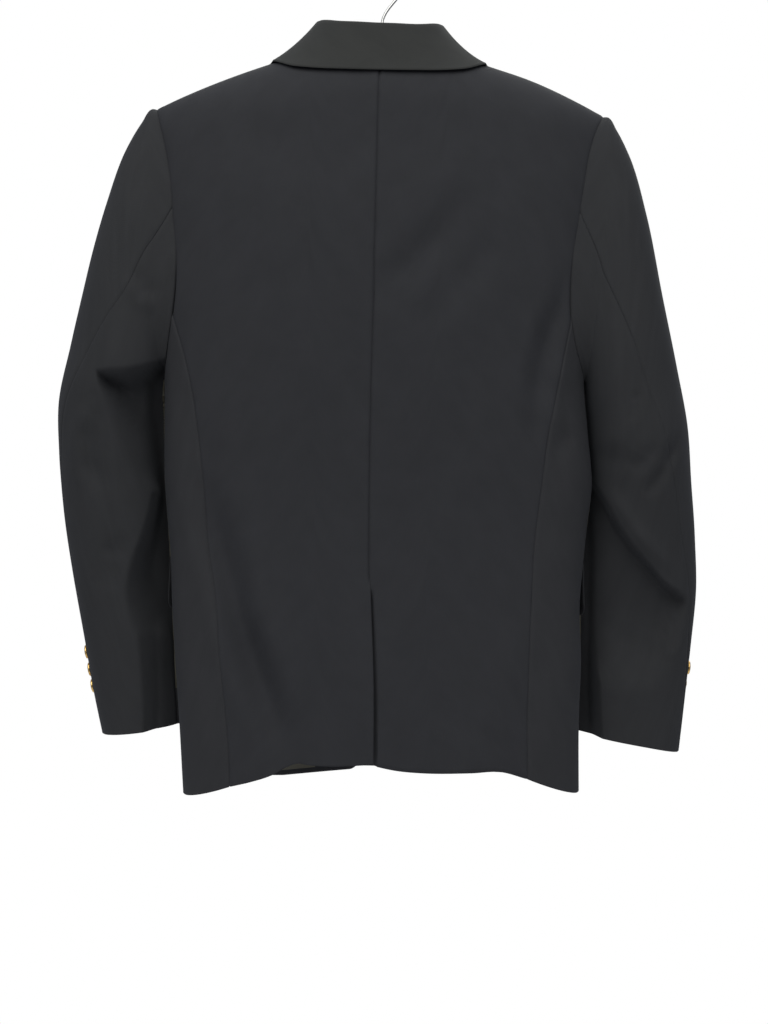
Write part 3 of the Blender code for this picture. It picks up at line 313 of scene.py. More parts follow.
# ---------------------------------------------------------------- collar, lapels, flaps
Station = namedtuple("Station", "roll_x roll_y roll_z seam_x seam_z edge_x edge_z face")
COLLAR = table_of(Station,
    (0, 47, -58.5, 0, -94, 0, -108.5, BACK),
    (22, 45.3, -57.4, 26, -93.4, 33, -108.2, BACK),
    (41, 37.5, -54.8, 48, -89.8, 62, -107, BACK),
    (55, 24, -50.2, 63, -82.3, 87, -103, BACK),
    (62, 8, -47, 70, -76.6, 107, -93, BACK),
    (64.5, -8, -47.4, 71.7, -76.2, 116, -91, FRONT),
    (65, -23, -56, 69.5, -84, 121, -98.5, FRONT),
    (63.5, -38, -73, 65.3, -95, 121.5, -108, FRONT),
)
GORGE = (  # share of the fall, x, height
    (0, 60.2, -108), (0.1, 70, -115), (0.38, 84, -127), (0.7, 97, -138), (1, 118, -113),
)
FALL_LIFT, FALL_CLEAR = 3.0 * MM, 2.6 * MM
FALL_WALL, LAPEL_WALL = 1.7 * MM, 1.5 * MM
FALL_SAG = {LEFT: 3.4 * MM, RIGHT: 4.4 * MM}
SAG_FADES, SAG_LOST = 0.62, 0.75  # from where along the collar its sag fades, and by how much
COLLAR_REACH = {LEFT: (1.03, 0.985), RIGHT: (0.975, 0.955)}
COLLAR_DROP = {LEFT: 0, RIGHT: 1.6 * MM}
ROLL_RADIUS = 2.6 * MM
COLLAR_SINK = 0.5 * MM
# the collar over its roll, in roll radii inwards and up, and at the gorge in millimetres
COLLAR_CURL = ((-1.5, -1.3), (-1.5, -0.55), (-1.1, 0.05), (-0.5, 0.25))
GORGE_CURL = ((-2.6, 1.5, -1.5), (-2.4, 0.6, -0.9), (-1.6, -0.3, -0.3), (-0.7, -0.4, 0))
STAND_HEAD = (1.5, 1.3)  # how far inside and under the roll the stand ends, in roll radii

LAPEL_TIP = (132, -166)
LAPEL_EDGE = table_of(Edge,
    (132, -166), (124, -200), (104, -262), (72, -326), (34, -384), (-8, -425),
)
LAPEL_LIFT, LAPEL_BULGE = 3.4 * MM, 3.5 * MM
LAPEL_TOP, LAPEL_DROP = -108, 319  # its roll's height at the gorge, and how far down it runs
LAPEL_CURL = (  # round the front's edge, along and out
    (2.4, -3.9), (0.2, -3.4), (-1.5, -2.2), (-1.7, -0.6), (-0.8, 0.3),
)

FLAP_TOP, FLAP_HEIGHT = -584 * MM, 51 * MM
FLAP_ANGLES = (-0.05, -1.12)
FLAP_WALL = 2.4 * MM
FLAP_CLEAR = 0.8 * MM
FLAP_FLARE = {LEFT: 2.2 * MM, RIGHT: 3.0 * MM}
FLAP_CORNER, FLAP_CORNER_FROM = 8 * MM, 0.86  # the round corners' height, and where they start

CUFF_BUTTON_SINK = 0.9 * MM  # the scene's cloth lies lower than the solids' at the cuffs
CUFF_BUTTON_SHIFT = {"cuff_left": (0.8 * MM, 0, 0)}

# ---------------------------------------------------------------- the cuts, in metres
Cut = namedtuple("Cut", "finish width length area")

# ---------------------------------------------------------------- finishes, light and camera
# one navy wool in lit and shaded copies: each part's colour is made lighter or darker, warmer or bluer, as
# painted light and shade for how the light falls on it; the collar, lit from above, is the lightest and
# least blue
WOOLS_WITH_PAINTED_LIGHT = {
    "back": (0.0284, 0.0291, 0.0341),
    "front": (0.0287, 0.0294, 0.0342),
    "side": (0.0304, 0.0309, 0.0352),
    "sleeve_upper": (0.0294, 0.0301, 0.0338),
    "sleeve_under": (0.0291, 0.0298, 0.0334),
    "collar": (0.0318, 0.0328, 0.0332),
    "lapel": (0.0312, 0.0316, 0.0350),
    "flap": (0.0296, 0.0300, 0.0332),
}
LINING = (0.075, 0.07, 0.052)
LINT = (0.32, 0.31, 0.29, 1)
BRASS, BRASS_TARNISH = (0.78, 0.53, 0.2), (0.5, 0.3, 0.1)
STEEL, STEEL_TARNISH = (0.62, 0.62, 0.63), (0.45, 0.45, 0.46)
PLASTIC = (0.018, 0.018, 0.019, 1)

WORLD_LIGHT = (0.132, 0.50)  # from straight below and from straight above
WORLD_TINT = (0.96, 0.98, 1.03)
Lamp = namedtuple("Lamp", "name place watts")
LAMPS = table_of(Lamp, ("key", (0.2, 1.5, 1.15), 43), ("front_key", (-0.5, -1.8, 1.2), 36))
LAMP_SIZE, LAMP_COLOUR = 2.4, (1.0, 1.0, 0.91)
LAMPS_AIM = (0, 0, -0.45)
FLOOR_RADIUS, FLOOR_HEIGHT = 1.6, -1.62
SENSOR, LENS = 36, 58.594
CAMERA_PLACE, CAMERA_ROLL = (-0.0115, 1.675, -0.548), math.radians(1.1)


def link_to_scene(item):
    bpy.context.scene.collection.objects.link(item)
    return item


def stacked(*parts):
    return np.stack(parts, axis=-1)


# ================================================================ curves and forms
def follow(rows, at):
    """A smooth curve through rows of (place, value), read at places; it is held level past its ends."""
    place, value = np.array(sorted(rows), float).T
    at = np.clip(at, place[0], place[-1])
    slope = np.gradient(value, place)
    i = np.clip(np.searchsorted(place, at, side="right") - 1, 0, len(place) - 2)
    span = place[i + 1] - place[i]
    t = (at - place[i]) / span
    return (
        value[i] * (2 * t**3 - 3 * t**2 + 1)
        + value[i + 1] * (3 * t**2 - 2 * t**3)
        + span * (slope[i] * (t**3 - 2 * t**2 + t) + slope[i + 1] * (t**3 - t**2))
    )


def by_height(table, name, height):
    return follow([(row.height * MM, getattr(row, name) * MM) for row in table], height)


def height_at(table, x):
    return follow([(row.x * MM, row.height * MM) for row in table], x)


def x_at(table, height):
    return follow([(row.height * MM, row.x * MM) for row in table], height)


def unit(vectors):
    return vectors / np.maximum(np.linalg.norm(vectors, axis=-1, keepdims=True), 1e-12)


def smooth(value):
    value = np.clip(value, 0, 1)
    return value * value * (3 - 2 * value)


def between(rings, steps):
    """Rows through the rings, smooth along them, with so many steps from each ring to the next."""
    rings = np.asarray(rings, float)
    ends = np.concatenate([[2 * rings[0] - rings[1]], rings, [2 * rings[-1] - rings[-2]]])
    rows = []
    for k in range(len(rings) - 1):
        a, b, c, d = ends[k : k + 4]
        for t in np.arange(steps[k]) / steps[k]:
            curve = (2 * a - 5 * b + 4 * c - d) * t**2 + (3 * b - a - 3 * c + d) * t**3
            rows.append(b + (c - a) * t / 2 + curve / 2)
    rows.append(rings[-1])
    return np.array(rows)


def spaced(rings, steps):
    """Rows through rings that lie unevenly far apart, with no row folded back."""
    gaps = np.maximum(np.linalg.norm(np.diff(rings, axis=0), axis=-1, keepdims=True), 0.3 * MM)
    slopes = np.diff(rings, axis=0) / gaps
    inner = (slopes[:-1] * gaps[1:] + slopes[1:] * gaps[:-1]) / (gaps[:-1] + gaps[1:])
    slopes = np.concatenate([slopes[:1], inner, slopes[-1:]])
    rows = []
    for k, count in enumerate(steps):
        for t in np.arange(count) / count:
            bend = slopes[k] * (t**3 - 2 * t**2 + t) + slopes[k + 1] * (t**3 - t**2)
            rows.append(rings[k] + (rings[k + 1] - rings[k]) * (3 * t**2 - 2 * t**3) + bend * gaps[k])
    rows.append(rings[-1])
    return np.array(rows)


def ridge(side, x):
    return follow([(row.x * MM, getattr(row, SIDES[side]) * MM) for row in SHOULDER], np.abs(x))


def body_parts(side, x, height, face):
    power = by_height(BODY, "round", height) / MM
    width = by_height(BODY, SIDES[side], height)
    depth = by_height(BODY, "back" if face == BACK else "front", height)
    across = 1 - (np.abs(x) / width) ** power
    below = np.clip((ridge(side, x) - height) / SHOULDER_FALL, -0.5, 1)
    return power, depth, across * (1 - (1 - below) ** power)


def body_point(side, x, height, face):
    """Points of the body's outer surface."""
    power, depth, left = body_parts(side, x, height, face)
    return stacked(x, face * depth * np.maximum(left, 0) ** (1 / power), height + 0 * x)


def body_normal(side, points, face):
    def level(p):
        power, depth, left = body_parts(side, p[..., 0], p[..., 2], face)
        return (np.abs(p[..., 1]) / depth) ** power - left

    step = 0.4 * MM
    slopes = []
    for axis in range(3):
        move = np.zeros(3)
        move[axis] = step
        slopes.append(level(points + move) - level(points - move))
    return unit(np.stack(slopes, axis=-1))


def loop_angle(side, x, height, face):
    """The angle round the body's section where it has this x: 0 under the arm, above 0 behind it."""
    power = by_height(BODY, "round", height) / MM / 2
    return face * np.arccos(np.clip(x / by_height(BODY, SIDES[side], height), 0, 1) ** power)


def loop_point(side, angle, height):
    face = np.where(angle >= 0, BACK, FRONT)
    power = 2 / (by_height(BODY, "round", height) / MM)
    depth = np.where(face == BACK, by_height(BODY, "back", height), by_height(BODY, "front", height))
    across = by_height(BODY, SIDES[side], height) * np.abs(np.cos(angle)) ** power
    return stacked(across, face * depth * np.abs(np.sin(angle)) ** power, height + 0 * angle)


def loop_normal(side, points):
    behind, before = body_normal(side, points, BACK), body_normal(side, points, FRONT)
    return np.where(points[..., 1:2] >= 0, behind, before)


def arm_middle(side):
    return (ARMHOLE_TOP[side] + ARMHOLE_END[side]) / 2


def arm_half(side):
    return (ARMHOLE_TOP[side] - ARMHOLE_END[side]) / 2


def armhole_angles():
    last = math.acos((-346 * MM - arm_middle(LEFT)) / arm_half(LEFT))
    return np.linspace(0, last, 8 * FINE + 1), np.linspace(last, 2 * math.pi - last, 6 * FINE + 1)


def armhole_edge(side, angles):
    height = arm_middle(side) + arm_half(side) * np.cos(angles)
    return stacked(by_height(ARMHOLE, SIDES[side], height), height)


def hem_corner(side, face):
    return HEM_BACK[side][-1].height * MM if face == BACK else HEM_FRONT[side]


def outer_edge(side, face):
    """The back's or front's outer edge: the armhole down to the side panel, then the seam to the hem."""
    down = armhole_edge(side, armhole_angles()[0])
    table = SIDE_BACK if face == BACK else SIDE_FRONT
    start = down[-1, 1]
    heights = np.linspace(start, hem_corner(side, face), 13 * FINE + 1)[1:]
    x = by_height(table, SIDES[side], heights)
    miss = down[-1, 0] - by_height(table, SIDES[side], np.array([start]))
    x += miss * smooth(1 - (start - heights) / 0.05)
    return np.vstack([down, stacked(x, heights)])


def fill(top, bottom, left, right):
    """A grid of points between four edges that share their corners."""
    s = np.linalg.norm(np.diff(top, axis=0), axis=1).cumsum()
    s = np.concatenate([[0], s / s[-1]])[None, :, None]
    t = np.abs(right[:, -1] - right[0, -1])
    t = (t / t[-1])[:, None, None]
    return coons(top, bottom, left, right, s, t)


def coons(top, bottom, left, right, s, t):
    return (
        (1 - t) * top[None] + t * bottom[None] + (1 - s) * left[:, None] + s * right[:, None]
        - (1 - s) * (1 - t) * top[0] - s * (1 - t) * top[-1] - (1 - s) * t * bottom[0] - s * t * bottom[-1]
    )


# ================================================================ creases
def crease_profile(kind, off):
    """How high a crease stands at a distance off its path, in widths."""
    if kind == "ridge":
        return np.exp(-(off**2))
    return LIP_HEIGHT * np.exp(-(((off - LIP_AT) / LIP_WIDTH) ** 2)) - np.exp(-(off**2))


def from_line(line, points):
    """For each point and each piece of a line: the distance off it, and how far along the piece that is."""
    start, step = line[:-1, :2], np.diff(line[:, :2], axis=0)
    at = points[..., None, [0, 2]] - start
    share = np.clip((at * step).sum(axis=-1) / (step**2).sum(axis=-1), 0, 1)
    return np.linalg.norm(at - share[..., None] * step, axis=-1), share


def hollow_height(hollow, points):
    """How deep a hollow is: nothing outside its outline, all of it beyond the slope inside."""
    rows = np.array(hollow.outline + hollow.outline[:1]) * MM
    line = between(rows, [3] * (len(rows) - 1))
    length, share = from_line(line, points)
    slope = line[:-1, 2] + share * np.diff(line[:, 2])
    x, z = points[..., 0, None], points[..., 2, None]
    low, high = line[:-1], line[1:]
    span = np.where(high[:, 1] == low[:, 1], 1, high[:, 1] - low[:, 1])
    meets_x = low[:, 0] + (z - low[:, 1]) * (high[:, 0] - low[:, 0]) / span
    crossed = ((low[:, 1] > z) != (high[:, 1] > z)) & (x < meets_x)
    inside = crossed.sum(axis=-1) % 2
    return hollow.depth * MM * inside * smooth((length / slope).min(axis=-1))


def hollowed(points, hollows, middle):
    """The points with those behind the arm's middle moved forwards into the deepest hollow they lie in."""
    deep = np.sum([hollow_height(hollow, points) ** 3 for hollow in hollows], axis=0) ** (1 / 3)
    behind = points[..., 1] - middle
    room = HOLLOW_ROOM * np.maximum(behind, 1e-6)
    moved = points.copy()
    moved[..., 1] -= room * np.tanh(deep / room) * smooth(behind / HOLLOW_START)
    return moved


def crease_height(crease, points):
    """How far one crease lifts or presses the cloth at each point."""
    line = between(np.array(crease.path) * MM, [5] * (len(crease.path) - 1))
    length, share = from_line(line, points)
    nearest = length.argmin(axis=-1)[..., None]
    along = (nearest + np.take_along_axis(share, nearest, axis=-1))[..., 0] / (len(line) - 1)
    uneven = 1 + SLOW_UNEVEN * np.sin(9 * along + crease.width) + QUICK_UNEVEN * np.sin(23 * along)
    fade = smooth(along * CREASE_ENDS) * smooth((1 - along) * CREASE_ENDS)
    profile = crease_profile(crease.kind, length.min(axis=-1) / (crease.width * MM))
    return crease.depth * MM * fade * uneven * profile


WAVES = (  # the cloth's slow unevenness: turns per metre along x, y and z, and its height in millimetres
    (7, 5, 2, 0.45),
    (11, -4, 4, 0.32),
    (-9, 9, 5, 0.3),
    (17, 6, -6, 0.2),
    (13, -14, 9, 0.14),
)


def crease_all(creases, points, middle, turn=18 * MM):
    """All creases of a piece, each on its own face of the garment, and the cloth's slow unevenness."""
    behind = smooth(0.5 + (points[..., 1] - middle) / (2 * turn))
    height = np.zeros(points.shape[:-1])
    for crease in creases:
        height += crease_height(crease, points) * (behind if crease.face == BACK else 1 - behind)
    for x, y, z, size in WAVES:
        height += size * MM * np.sin(2 * math.pi * (points @ np.array([x, y, z])) + 2 * x)
    return height


def pressed(points, normals, height, middle, share=0.62):
    """The points moved by the creases' height, straight back or forth, so that the outline keeps."""
    room = share * np.abs(points[..., 1] - middle)
    height = np.where(height < 0, -room * np.tanh(-height / np.maximum(room, 1e-6)), height)
    moved = points.copy()
    moved[..., 1] += height * np.sign(normals[..., 1]) * np.sqrt(np.abs(normals[..., 1]))
    return moved


# ================================================================ cloth
EDGES = ("top", "bottom", "left", "right")


def turned(grid, edge):
    """The grid with the named edge as its first row."""
    if edge == "right":
        return grid[:, ::-1].swapaxes(0, 1)
    return turned_back(grid, edge)


def turned_back(grid, edge):
    if edge == "right":
        return grid.swapaxes(0, 1)[:, ::-1]
    return {"top": grid, "bottom": grid[::-1], "left": grid.swapaxes(0, 1)}[edge]


def closer_rows(grid, edge, runs):
    """Adds rows of points at small distances from an edge, for its roll or its seam."""
    grid = turned(grid, edge)
    first, second = grid[0], grid[1]
    width = np.linalg.norm(second[..., :3] - first[..., :3], axis=-1, keepdims=True)
    lines = [first + (second - first) * np.minimum(run * MM / width, 0.8 * run / runs[-1]) for run in runs]
    return turned_back(np.concatenate([grid[:1], lines, grid[1:]]), edge)


def run_from(points, edge):
    """The distance of each point from an edge, along the cloth."""
    points = turned(points, edge)
    steps = np.linalg.norm(np.diff(points, axis=0), axis=-1)
    return turned_back(np.concatenate([np.zeros_like(steps[:1]), steps.cumsum(axis=0)]), edge)


def armhole_dip(line):
    return ARMHOLE_DIP + ARMHOLE_DEEPER * smooth((LOW_ARMHOLE - line[:, 2]) / (60 * MM))


def seam_dip(run, depth):
    """The cloth beside a seam: a low rise, then the dip at its stitches."""
    rise = SEAM_RISE * np.exp(-(((run - SEAM_RISE_AT) / SEAM_RISE_WIDTH) ** 2))
    return rise - depth * np.exp(-((run / (SEAM_WIDTH + SEAM_SPREAD * depth)) ** 2))


def cloth(name, points, normals, seams, finishes, side=LEFT, keep=None, thickness=CLOTH, lined=None):
    """A cloth piece: dips at its seams, soft round free edges, and its inner face behind.

    seams gives, for each sewn edge, how deep its dip is, or a function of the edge's points.
    lined says, from the points and their distances from the edges, where the lining shows.
    """
    grid = np.concatenate([points, normals], axis=-1)
    for edge in EDGES:
        if keep is None or edge in seams:
            close = SEWN_ROWS if edge in seams else FREE_ROWS
            grid = closer_rows(grid, edge, close)
            if keep is not None:
                keep = wider(keep, edge, len(close))
    points, normals = grid[..., :3], unit(grid[..., 3:])
    rows, columns = points.shape[:2]
    runs = {edge: run_from(points, edge) for edge in EDGES}
    sewn = np.zeros((rows, columns))
    dip = np.zeros((rows, columns))
    for edge, depth in seams.items():
        line = turned(points, edge)[0]
        depth = depth(line) if callable(depth) else np.full(len(line), depth)
        dip += turned_back(seam_dip(turned(runs[edge], edge), depth[None] * MM), edge)
        closed = np.zeros_like(turned(sewn, edge))
        closed[0] = np.minimum(depth / CLOSED_SEAM, 1)
        sewn = np.maximum(sewn, turned_back(closed, edge))
    outer = (points + dip[..., None] * normals).reshape(-1, 3)
    normals = normals.reshape(-1, 3)
    inner = outer - thickness * normals
    number = np.arange(rows * columns).reshape(rows, columns)
    quads = stacked(number[:-1, :-1], number[1:, :-1], number[1:, 1:], number[:-1, 1:])
    quads = quads.reshape(-1, 4) if keep is None else quads[np.array(keep)]
    facing = np.cross(outer[quads[:, 2]] - outer[quads[:, 0]], outer[quads[:, 3]] - outer[quads[:, 1]])
    if (facing * normals[quads[:, 0]]).sum() < 0:
        quads = quads[:, ::-1]
    sides = np.concatenate([quads[:, [k, (k + 1) % 4]] for k in range(4)])
    keys, back_keys = sides @ [rows * columns, 1], sides @ [1, rows * columns]
    rim = sides[~np.isin(keys, back_keys)]
    along = unit(outer[rim[:, 1]] - outer[rim[:, 0]])
    outward = np.zeros_like(outer)
    for end in (0, 1):
        np.add.at(outward, rim[:, end], np.cross(along, normals[rim[:, end]]))
    rounded = 0.5 * thickness * (1 - sewn.reshape(-1, 1))
    middle = (outer + inner) / 2 + unit(outward) * rounded
    total = rows * columns
    a, b = rim[:, 0], rim[:, 1]
    faces = np.concatenate([
        quads,
        stacked(b, a, a + 2 * total, b + 2 * total),
        stacked(b + 2 * total, a + 2 * total, a + total, b + total),
        quads[:, ::-1] + total,
    ])
    finish = np.zeros(len(faces), int)
    if lined is not None:
        shown = lined(points, runs).reshape(-1)
        finish[-len(quads):] = shown[quads].all(axis=1)
    flat = np.tile(stacked(runs["left"], -runs["top"]).reshape(-1, 2), (3, 1))
    return cloth_object(name, np.concatenate([outer, inner, middle]), faces, flat, finish, finishes, side)


def wider(keep, edge, count):
    """The kept faces with so many more rows of them at an edge."""
    keep = turned(np.array(keep), edge)
    return turned_back(np.concatenate([keep[:1]] * count + [keep]), edge)


def cloth_object(name, vertices, faces, flat, finish, finishes, side):
    """One cloth mesh with its flat pattern as a UV map, moved to the hanger's frame."""
    used, faces = np.unique(faces, return_inverse=True)
    faces = faces.reshape(-1, 4)
    vertices = vertices[used] * [side, 1, 1] + [0, 0, HANG]
    if side == RIGHT:
        faces = faces[:, ::-1]
    mesh = bpy.data.meshes.new(name)
    mesh.from_pydata(vertices.tolist(), [], faces.tolist())
    mesh.update()
    pattern = mesh.uv_layers.new(name="cloth")
    pattern.data.foreach_set("uv", flat[used][faces].reshape(-1).astype(np.float32))
    for material in finishes:
        mesh.materials.append(material)
    mesh.polygons.foreach_set("material_index", finish.astype(np.int32))
    mesh.shade_smooth()
    mesh.set_sharp_from_angle(angle=SHARP_EDGE)
    return link_to_scene(bpy.data.objects.new(name, mesh))


def sewn(name, cut, held, rests_on, *form, **options):
    """Makes a cloth piece with its finishes, parents it to the root and hides the frame's part it takes the
    place of.
    """
    item = cloth(name + "_wool", *form, **options)
    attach(item, "root")
    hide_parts(name)
    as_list(rests_on)


# ================================================================ body panels
def body_creased(side, points, normals):
    """The points with their creases, which fade out at the armhole and over the shoulder."""
    x, height = points[..., 0], points[..., 2]
    off, above = by_height(ARMHOLE, SIDES[side], height) - x, height - ARMHOLE_END[side]
    near_arm = np.where(above > 0, np.abs(off), np.hypot(off, above))
    free = smooth(near_arm / CREASE_FREE[side]) * smooth((ridge(side, x) - height) / SHOULDER_FREE)
    return pressed(points, normals, crease_all(BODY_CREASES[side], points, 0) * free, 0)


def underlap(side, points):
    """How far the right front sinks behind the left, from near the middle on."""
    if side == LEFT:
        return np.zeros(points.shape[:-1])
    return UNDERLAP * smooth((UNDERLAP_FROM - points[..., 0]) / (UNDERLAP_FROM - UNDERLAP_TO))


def front_surface(side, x, height, lift):
    points = body_point(side, x, height, FRONT)
    normals = body_normal(side, points, FRONT)
    return points + (lift - underlap(side, points))[..., None] * normals, normals


def panel_plan(side, face, top, head, foot, inner, hem):
    """The plan of a back or a front, from its top edge down.

    inner gives the x of its inner edge, which runs from head to foot, and hem the heights of its hem.
    """
    right = outer_edge(side, face)
    top[-1] = right[0]
    share = (right[:, 1] - right[0, 1]) / (right[-1, 1] - right[0, 1])
    heights = head + share * (foot - head)
    left = stacked(inner(heights), heights)
    hem_x = np.linspace(left[-1, 0], right[-1, 0], len(top))
    return fill(top, stacked(hem_x, hem(hem_x)), left, right), left


def vent_dip(line):
    return 2.0 * smooth((line[:, 2] - VENT_TOP) / (6 * MM))


def turned_up(hem):
    """Says that the lining shows above a hem of so much turned-up wool."""
    return lambda points, runs: runs["bottom"] > hem


def back_panel(side, finishes):
    def centre(height):
        return side * x_at(CENTRE_BACK, height)

    def hem(x):
        return height_at(HEM_BACK[side], x)

    def dip(line):
        low = line[:, 2] <= ARMHOLE_END[side] + 60 * MM
        return np.where(low, SIDE_DIP, armhole_dip(line))

    def lined(p, runs):
        above = (p[..., 2] > VENT_TOP) | (runs["left"] > VENT_FACED[side])
        return (runs["bottom"] > HEM_TURNED) & above

    seams, keep = {"top": SHOULDER_DIP, "right": dip}, None
    neck = np.linspace(centre(np.array([NECK_BACK]))[0], NECK_X, 4 * FINE + 1)
    shoulder = np.linspace(NECK_X, SHOULDER_X[side], 7 * FINE + 1)[1:]
    rise = np.clip(neck / NECK_X, 0, 1) ** 2.5
    top = np.vstack([
        stacked(neck, NECK_BACK + (ridge(side, NECK_X) - NECK_BACK) * rise),
        stacked(shoulder, ridge(side, shoulder)),
    ])
    hem_middle = hem(centre(np.array([-780 * MM])))[0]
    plan, left = panel_plan(side, BACK, top, NECK_BACK, hem_middle, centre, hem)
    points = body_point(side, plan[..., 0], plan[..., 1], BACK)
    normals = body_normal(side, points, BACK)
    points = body_creased(side, points, normals)
    down = np.clip((VENT_TOP - points[..., 2]) / (VENT_TOP - hem_middle), 0, 1)
    inside = points[..., 0] - centre(points[..., 2])
    if side == LEFT:
        lift = VENT_LIFT * smooth(down * 1.5) * np.exp(-((inside / VENT_LIFT_WIDTH) ** 2))
        points = points + lift[..., None] * normals
        seams = {"top": SHOULDER_DIP, "left": vent_dip, "right": dip}
    else:
        groove = VENT_GROOVE[0] + (VENT_GROOVE[1] - VENT_GROOVE[0]) * down
        sink = VENT_DEPTH * smooth(down * 12) * (1 - smooth((inside - groove) / (1.8 * MM)))
        sink += CENTRE_SEAM_DEPTH * np.exp(-((inside / CENTRE_SEAM_WIDTH) ** 2)) * (down == 0)
        points = points - sink[..., None] * normals
        past = np.linspace(VENT_UNDERLAY, 2 * MM, UNDERLAY_COLUMNS)
        under = np.stack([body_point(side, left[:, 0] - off, left[:, 1], BACK) for off in past], axis=1)
        under_normals = body_normal(side, under, BACK)
        under = body_creased(side, under, under_normals) - VENT_DEPTH * under_normals
        points = np.concatenate([under, points], axis=1)
        normals = np.concatenate([under_normals, normals], axis=1)
        keep = np.ones(np.array(points.shape[:2]) - 1, bool)
        keep[: int(np.argmax(left[:, 1] < VENT_TOP)), :UNDERLAY_COLUMNS] = False
    sewn(
        "back_" + SIDES[side], "back", "hung", ["hanger_bar"],
        points, normals, seams, finishes, side, keep, lined=lined,
    )


def side_panel(side, finishes):
    steps = 6 * FINE
    around = armhole_angles()[1]
    under = armhole_edge(side, around)
    faces = np.where(around < math.pi, BACK, FRONT)
    top = stacked(loop_angle(side, under[:, 0], under[:, 1], faces), under[:, 1])
    top[steps // 2, 0] = 0
    behind, before = outer_edge(side, BACK)[8 * FINE :], outer_edge(side, FRONT)[8 * FINE :]
    left = stacked(loop_angle(side, behind[:, 0], behind[:, 1], BACK), behind[:, 1])
    right = stacked(loop_angle(side, before[:, 0], before[:, 1], FRONT), before[:, 1])
    top[0], top[-1] = left[0], right[0]
    angles = np.linspace(left[-1, 0], right[-1, 0], steps + 1)
    share = np.linspace(-1, 1, steps + 1)
    ends = np.linspace(left[-1, 1], right[-1, 1], steps + 1)
    bottom = stacked(angles, ends + (HEM_SIDE[side] - ends) * (1 - share**2))
    s = np.linspace(0, 1, steps + 1)[None, :, None]
    t = np.linspace(0, 1, 13 * FINE + 1)[:, None, None]
    plan = coons(top, bottom, left, right, s, t)
    points = loop_point(side, plan[..., 0], plan[..., 1])
    normals = loop_normal(side, points)
    points = body_creased(side, points, normals)
    seams = {"top": 0.5, "left": SIDE_DIP, "right": SIDE_DIP}
    sewn(
        "side_" + SIDES[side], "side", "hung", [f"back_{SIDES[side]}_wool"],
        points, normals, seams, finishes, side, lined=turned_up(HEM_TURNED),
    )


def front_panel(side, finishes):
    def hem(x):
        sweep = SWEEP_RISE * np.clip(1 - (x - x[0]) / SWEEP_RUN, 0, 1)
        corner = CORNER_RISE * np.clip(1 - (x - x[0]) / CORNER_RUN, 0, 1) ** 2
        return HEM_FRONT[side] + (sweep + corner)

    shoulder = np.linspace(NECK_X, SHOULDER_X[side], 9 * FINE + 1)
    top = stacked(shoulder, ridge(side, shoulder))
    low = HEM_FRONT[side] + SWEEP_RISE + CORNER_RISE
    plan, left = panel_plan(side, FRONT, top, top[0, 1], low, lambda height: x_at(FRONT_EDGE, height), hem)
    points, normals = front_surface(side, plan[..., 0], plan[..., 1], np.zeros(plan.shape[:2]))
    drawn_in = DRAWN_IN * smooth((left[:, 1] - ROLL_END) / (14 * MM))
    points[..., 0] += drawn_in[:, None] * np.exp(-(run_from(points, "left") / DRAWN_IN_WIDTH) ** 2)
    points = body_creased(side, points, normals)

    def lined(p, runs):
        facing = FACING + FACING_WIDER * smooth((p[..., 2] + 700 * MM) / (300 * MM))
        band = np.where((side == LEFT) & (p[..., 0] < 98 * MM), 2 * MM, FRONT_TURNED)
        return (runs["left"] > facing) & (runs["bottom"] > band)

    seams = {"top": SHOULDER_DIP, "right": 0.5}
    sewn(
        "front_" + SIDES[side], "front", "hung", ["hanger_bar"],
        points, normals, seams, finishes, side, lined=lined,
    )


# ================================================================ sleeves
def ring_points(ring, angles):
    outer = np.array([ring.out_x, ring.out_z]) * MM
    inner = np.array([ring.in_x, ring.in_z]) * MM
    middle, arm = (outer + inner) / 2, (outer - inner) / 2
    power = 2 / SLEEVE_ROUND
    across = np.sign(np.cos(angles)) * np.abs(np.cos(angles)) ** power
    through = np.sign(np.sin(angles)) * np.abs(np.sin(angles)) ** power
    return stacked(
        middle[0] + arm[0] * across,
        ring.middle * MM + ring.depth * MM * through,
        middle[1] + arm[1] * across,
    )


def armhole_loop(side):
    down, under = armhole_angles()
    angles = np.concatenate([down, under[1:-1], (2 * math.pi - down[1:])[::-1]])
    edge = armhole_edge(side, np.minimum(angles, 2 * math.pi - angles))
    behind = body_point(side, edge[:, 0], edge[:, 1], BACK)
    before = body_point(side, edge[:, 0], edge[:, 1], FRONT)
    points = np.where((angles <= math.pi)[:, None], behind, before)
    lowest = np.argmin(np.abs(angles - math.pi))
    points[lowest, 0] = by_height(BODY, SIDES[side], points[lowest, 2])
    points[[0, lowest], 1] = 0
    return points, angles


def eased(rows, count=7 * FINE, times=300):
    """The rows with the bend at the sleeve's head eased, front and back, while the outline stays."""
    start = rows[1 : count + 1, :, 1].copy()
    steps = np.linalg.norm(np.diff(rows[: count + 2], axis=0), axis=-1)
    above, below = 1 / steps[:-1], 1 / steps[1:]
    for _ in range(times):
        y = rows[: count + 2, :, 1]
        rows[1 : count + 1, :, 1] = (y[1:-1] + (y[:-2] * above + y[2:] * below) / (above + below)) / 2
    back = smooth(np.linspace(-1, 1, count))[:, None]
    rows[1 : count + 1, :, 1] += (start - rows[1 : count + 1, :, 1]) * back
    return rows


def tube_normals(rows):
    """The outward directions of a tube whose columns run once round it."""
    around = (np.roll(rows, -1, axis=1) - np.roll(rows, 1, axis=1)) / 2
    normals = unit(np.cross(around, np.gradient(rows, axis=0)))
    middle = rows.mean(axis=1, keepdims=True)
    return normals * np.sign((normals * (rows - middle)).sum(axis=(1, 2)).mean())


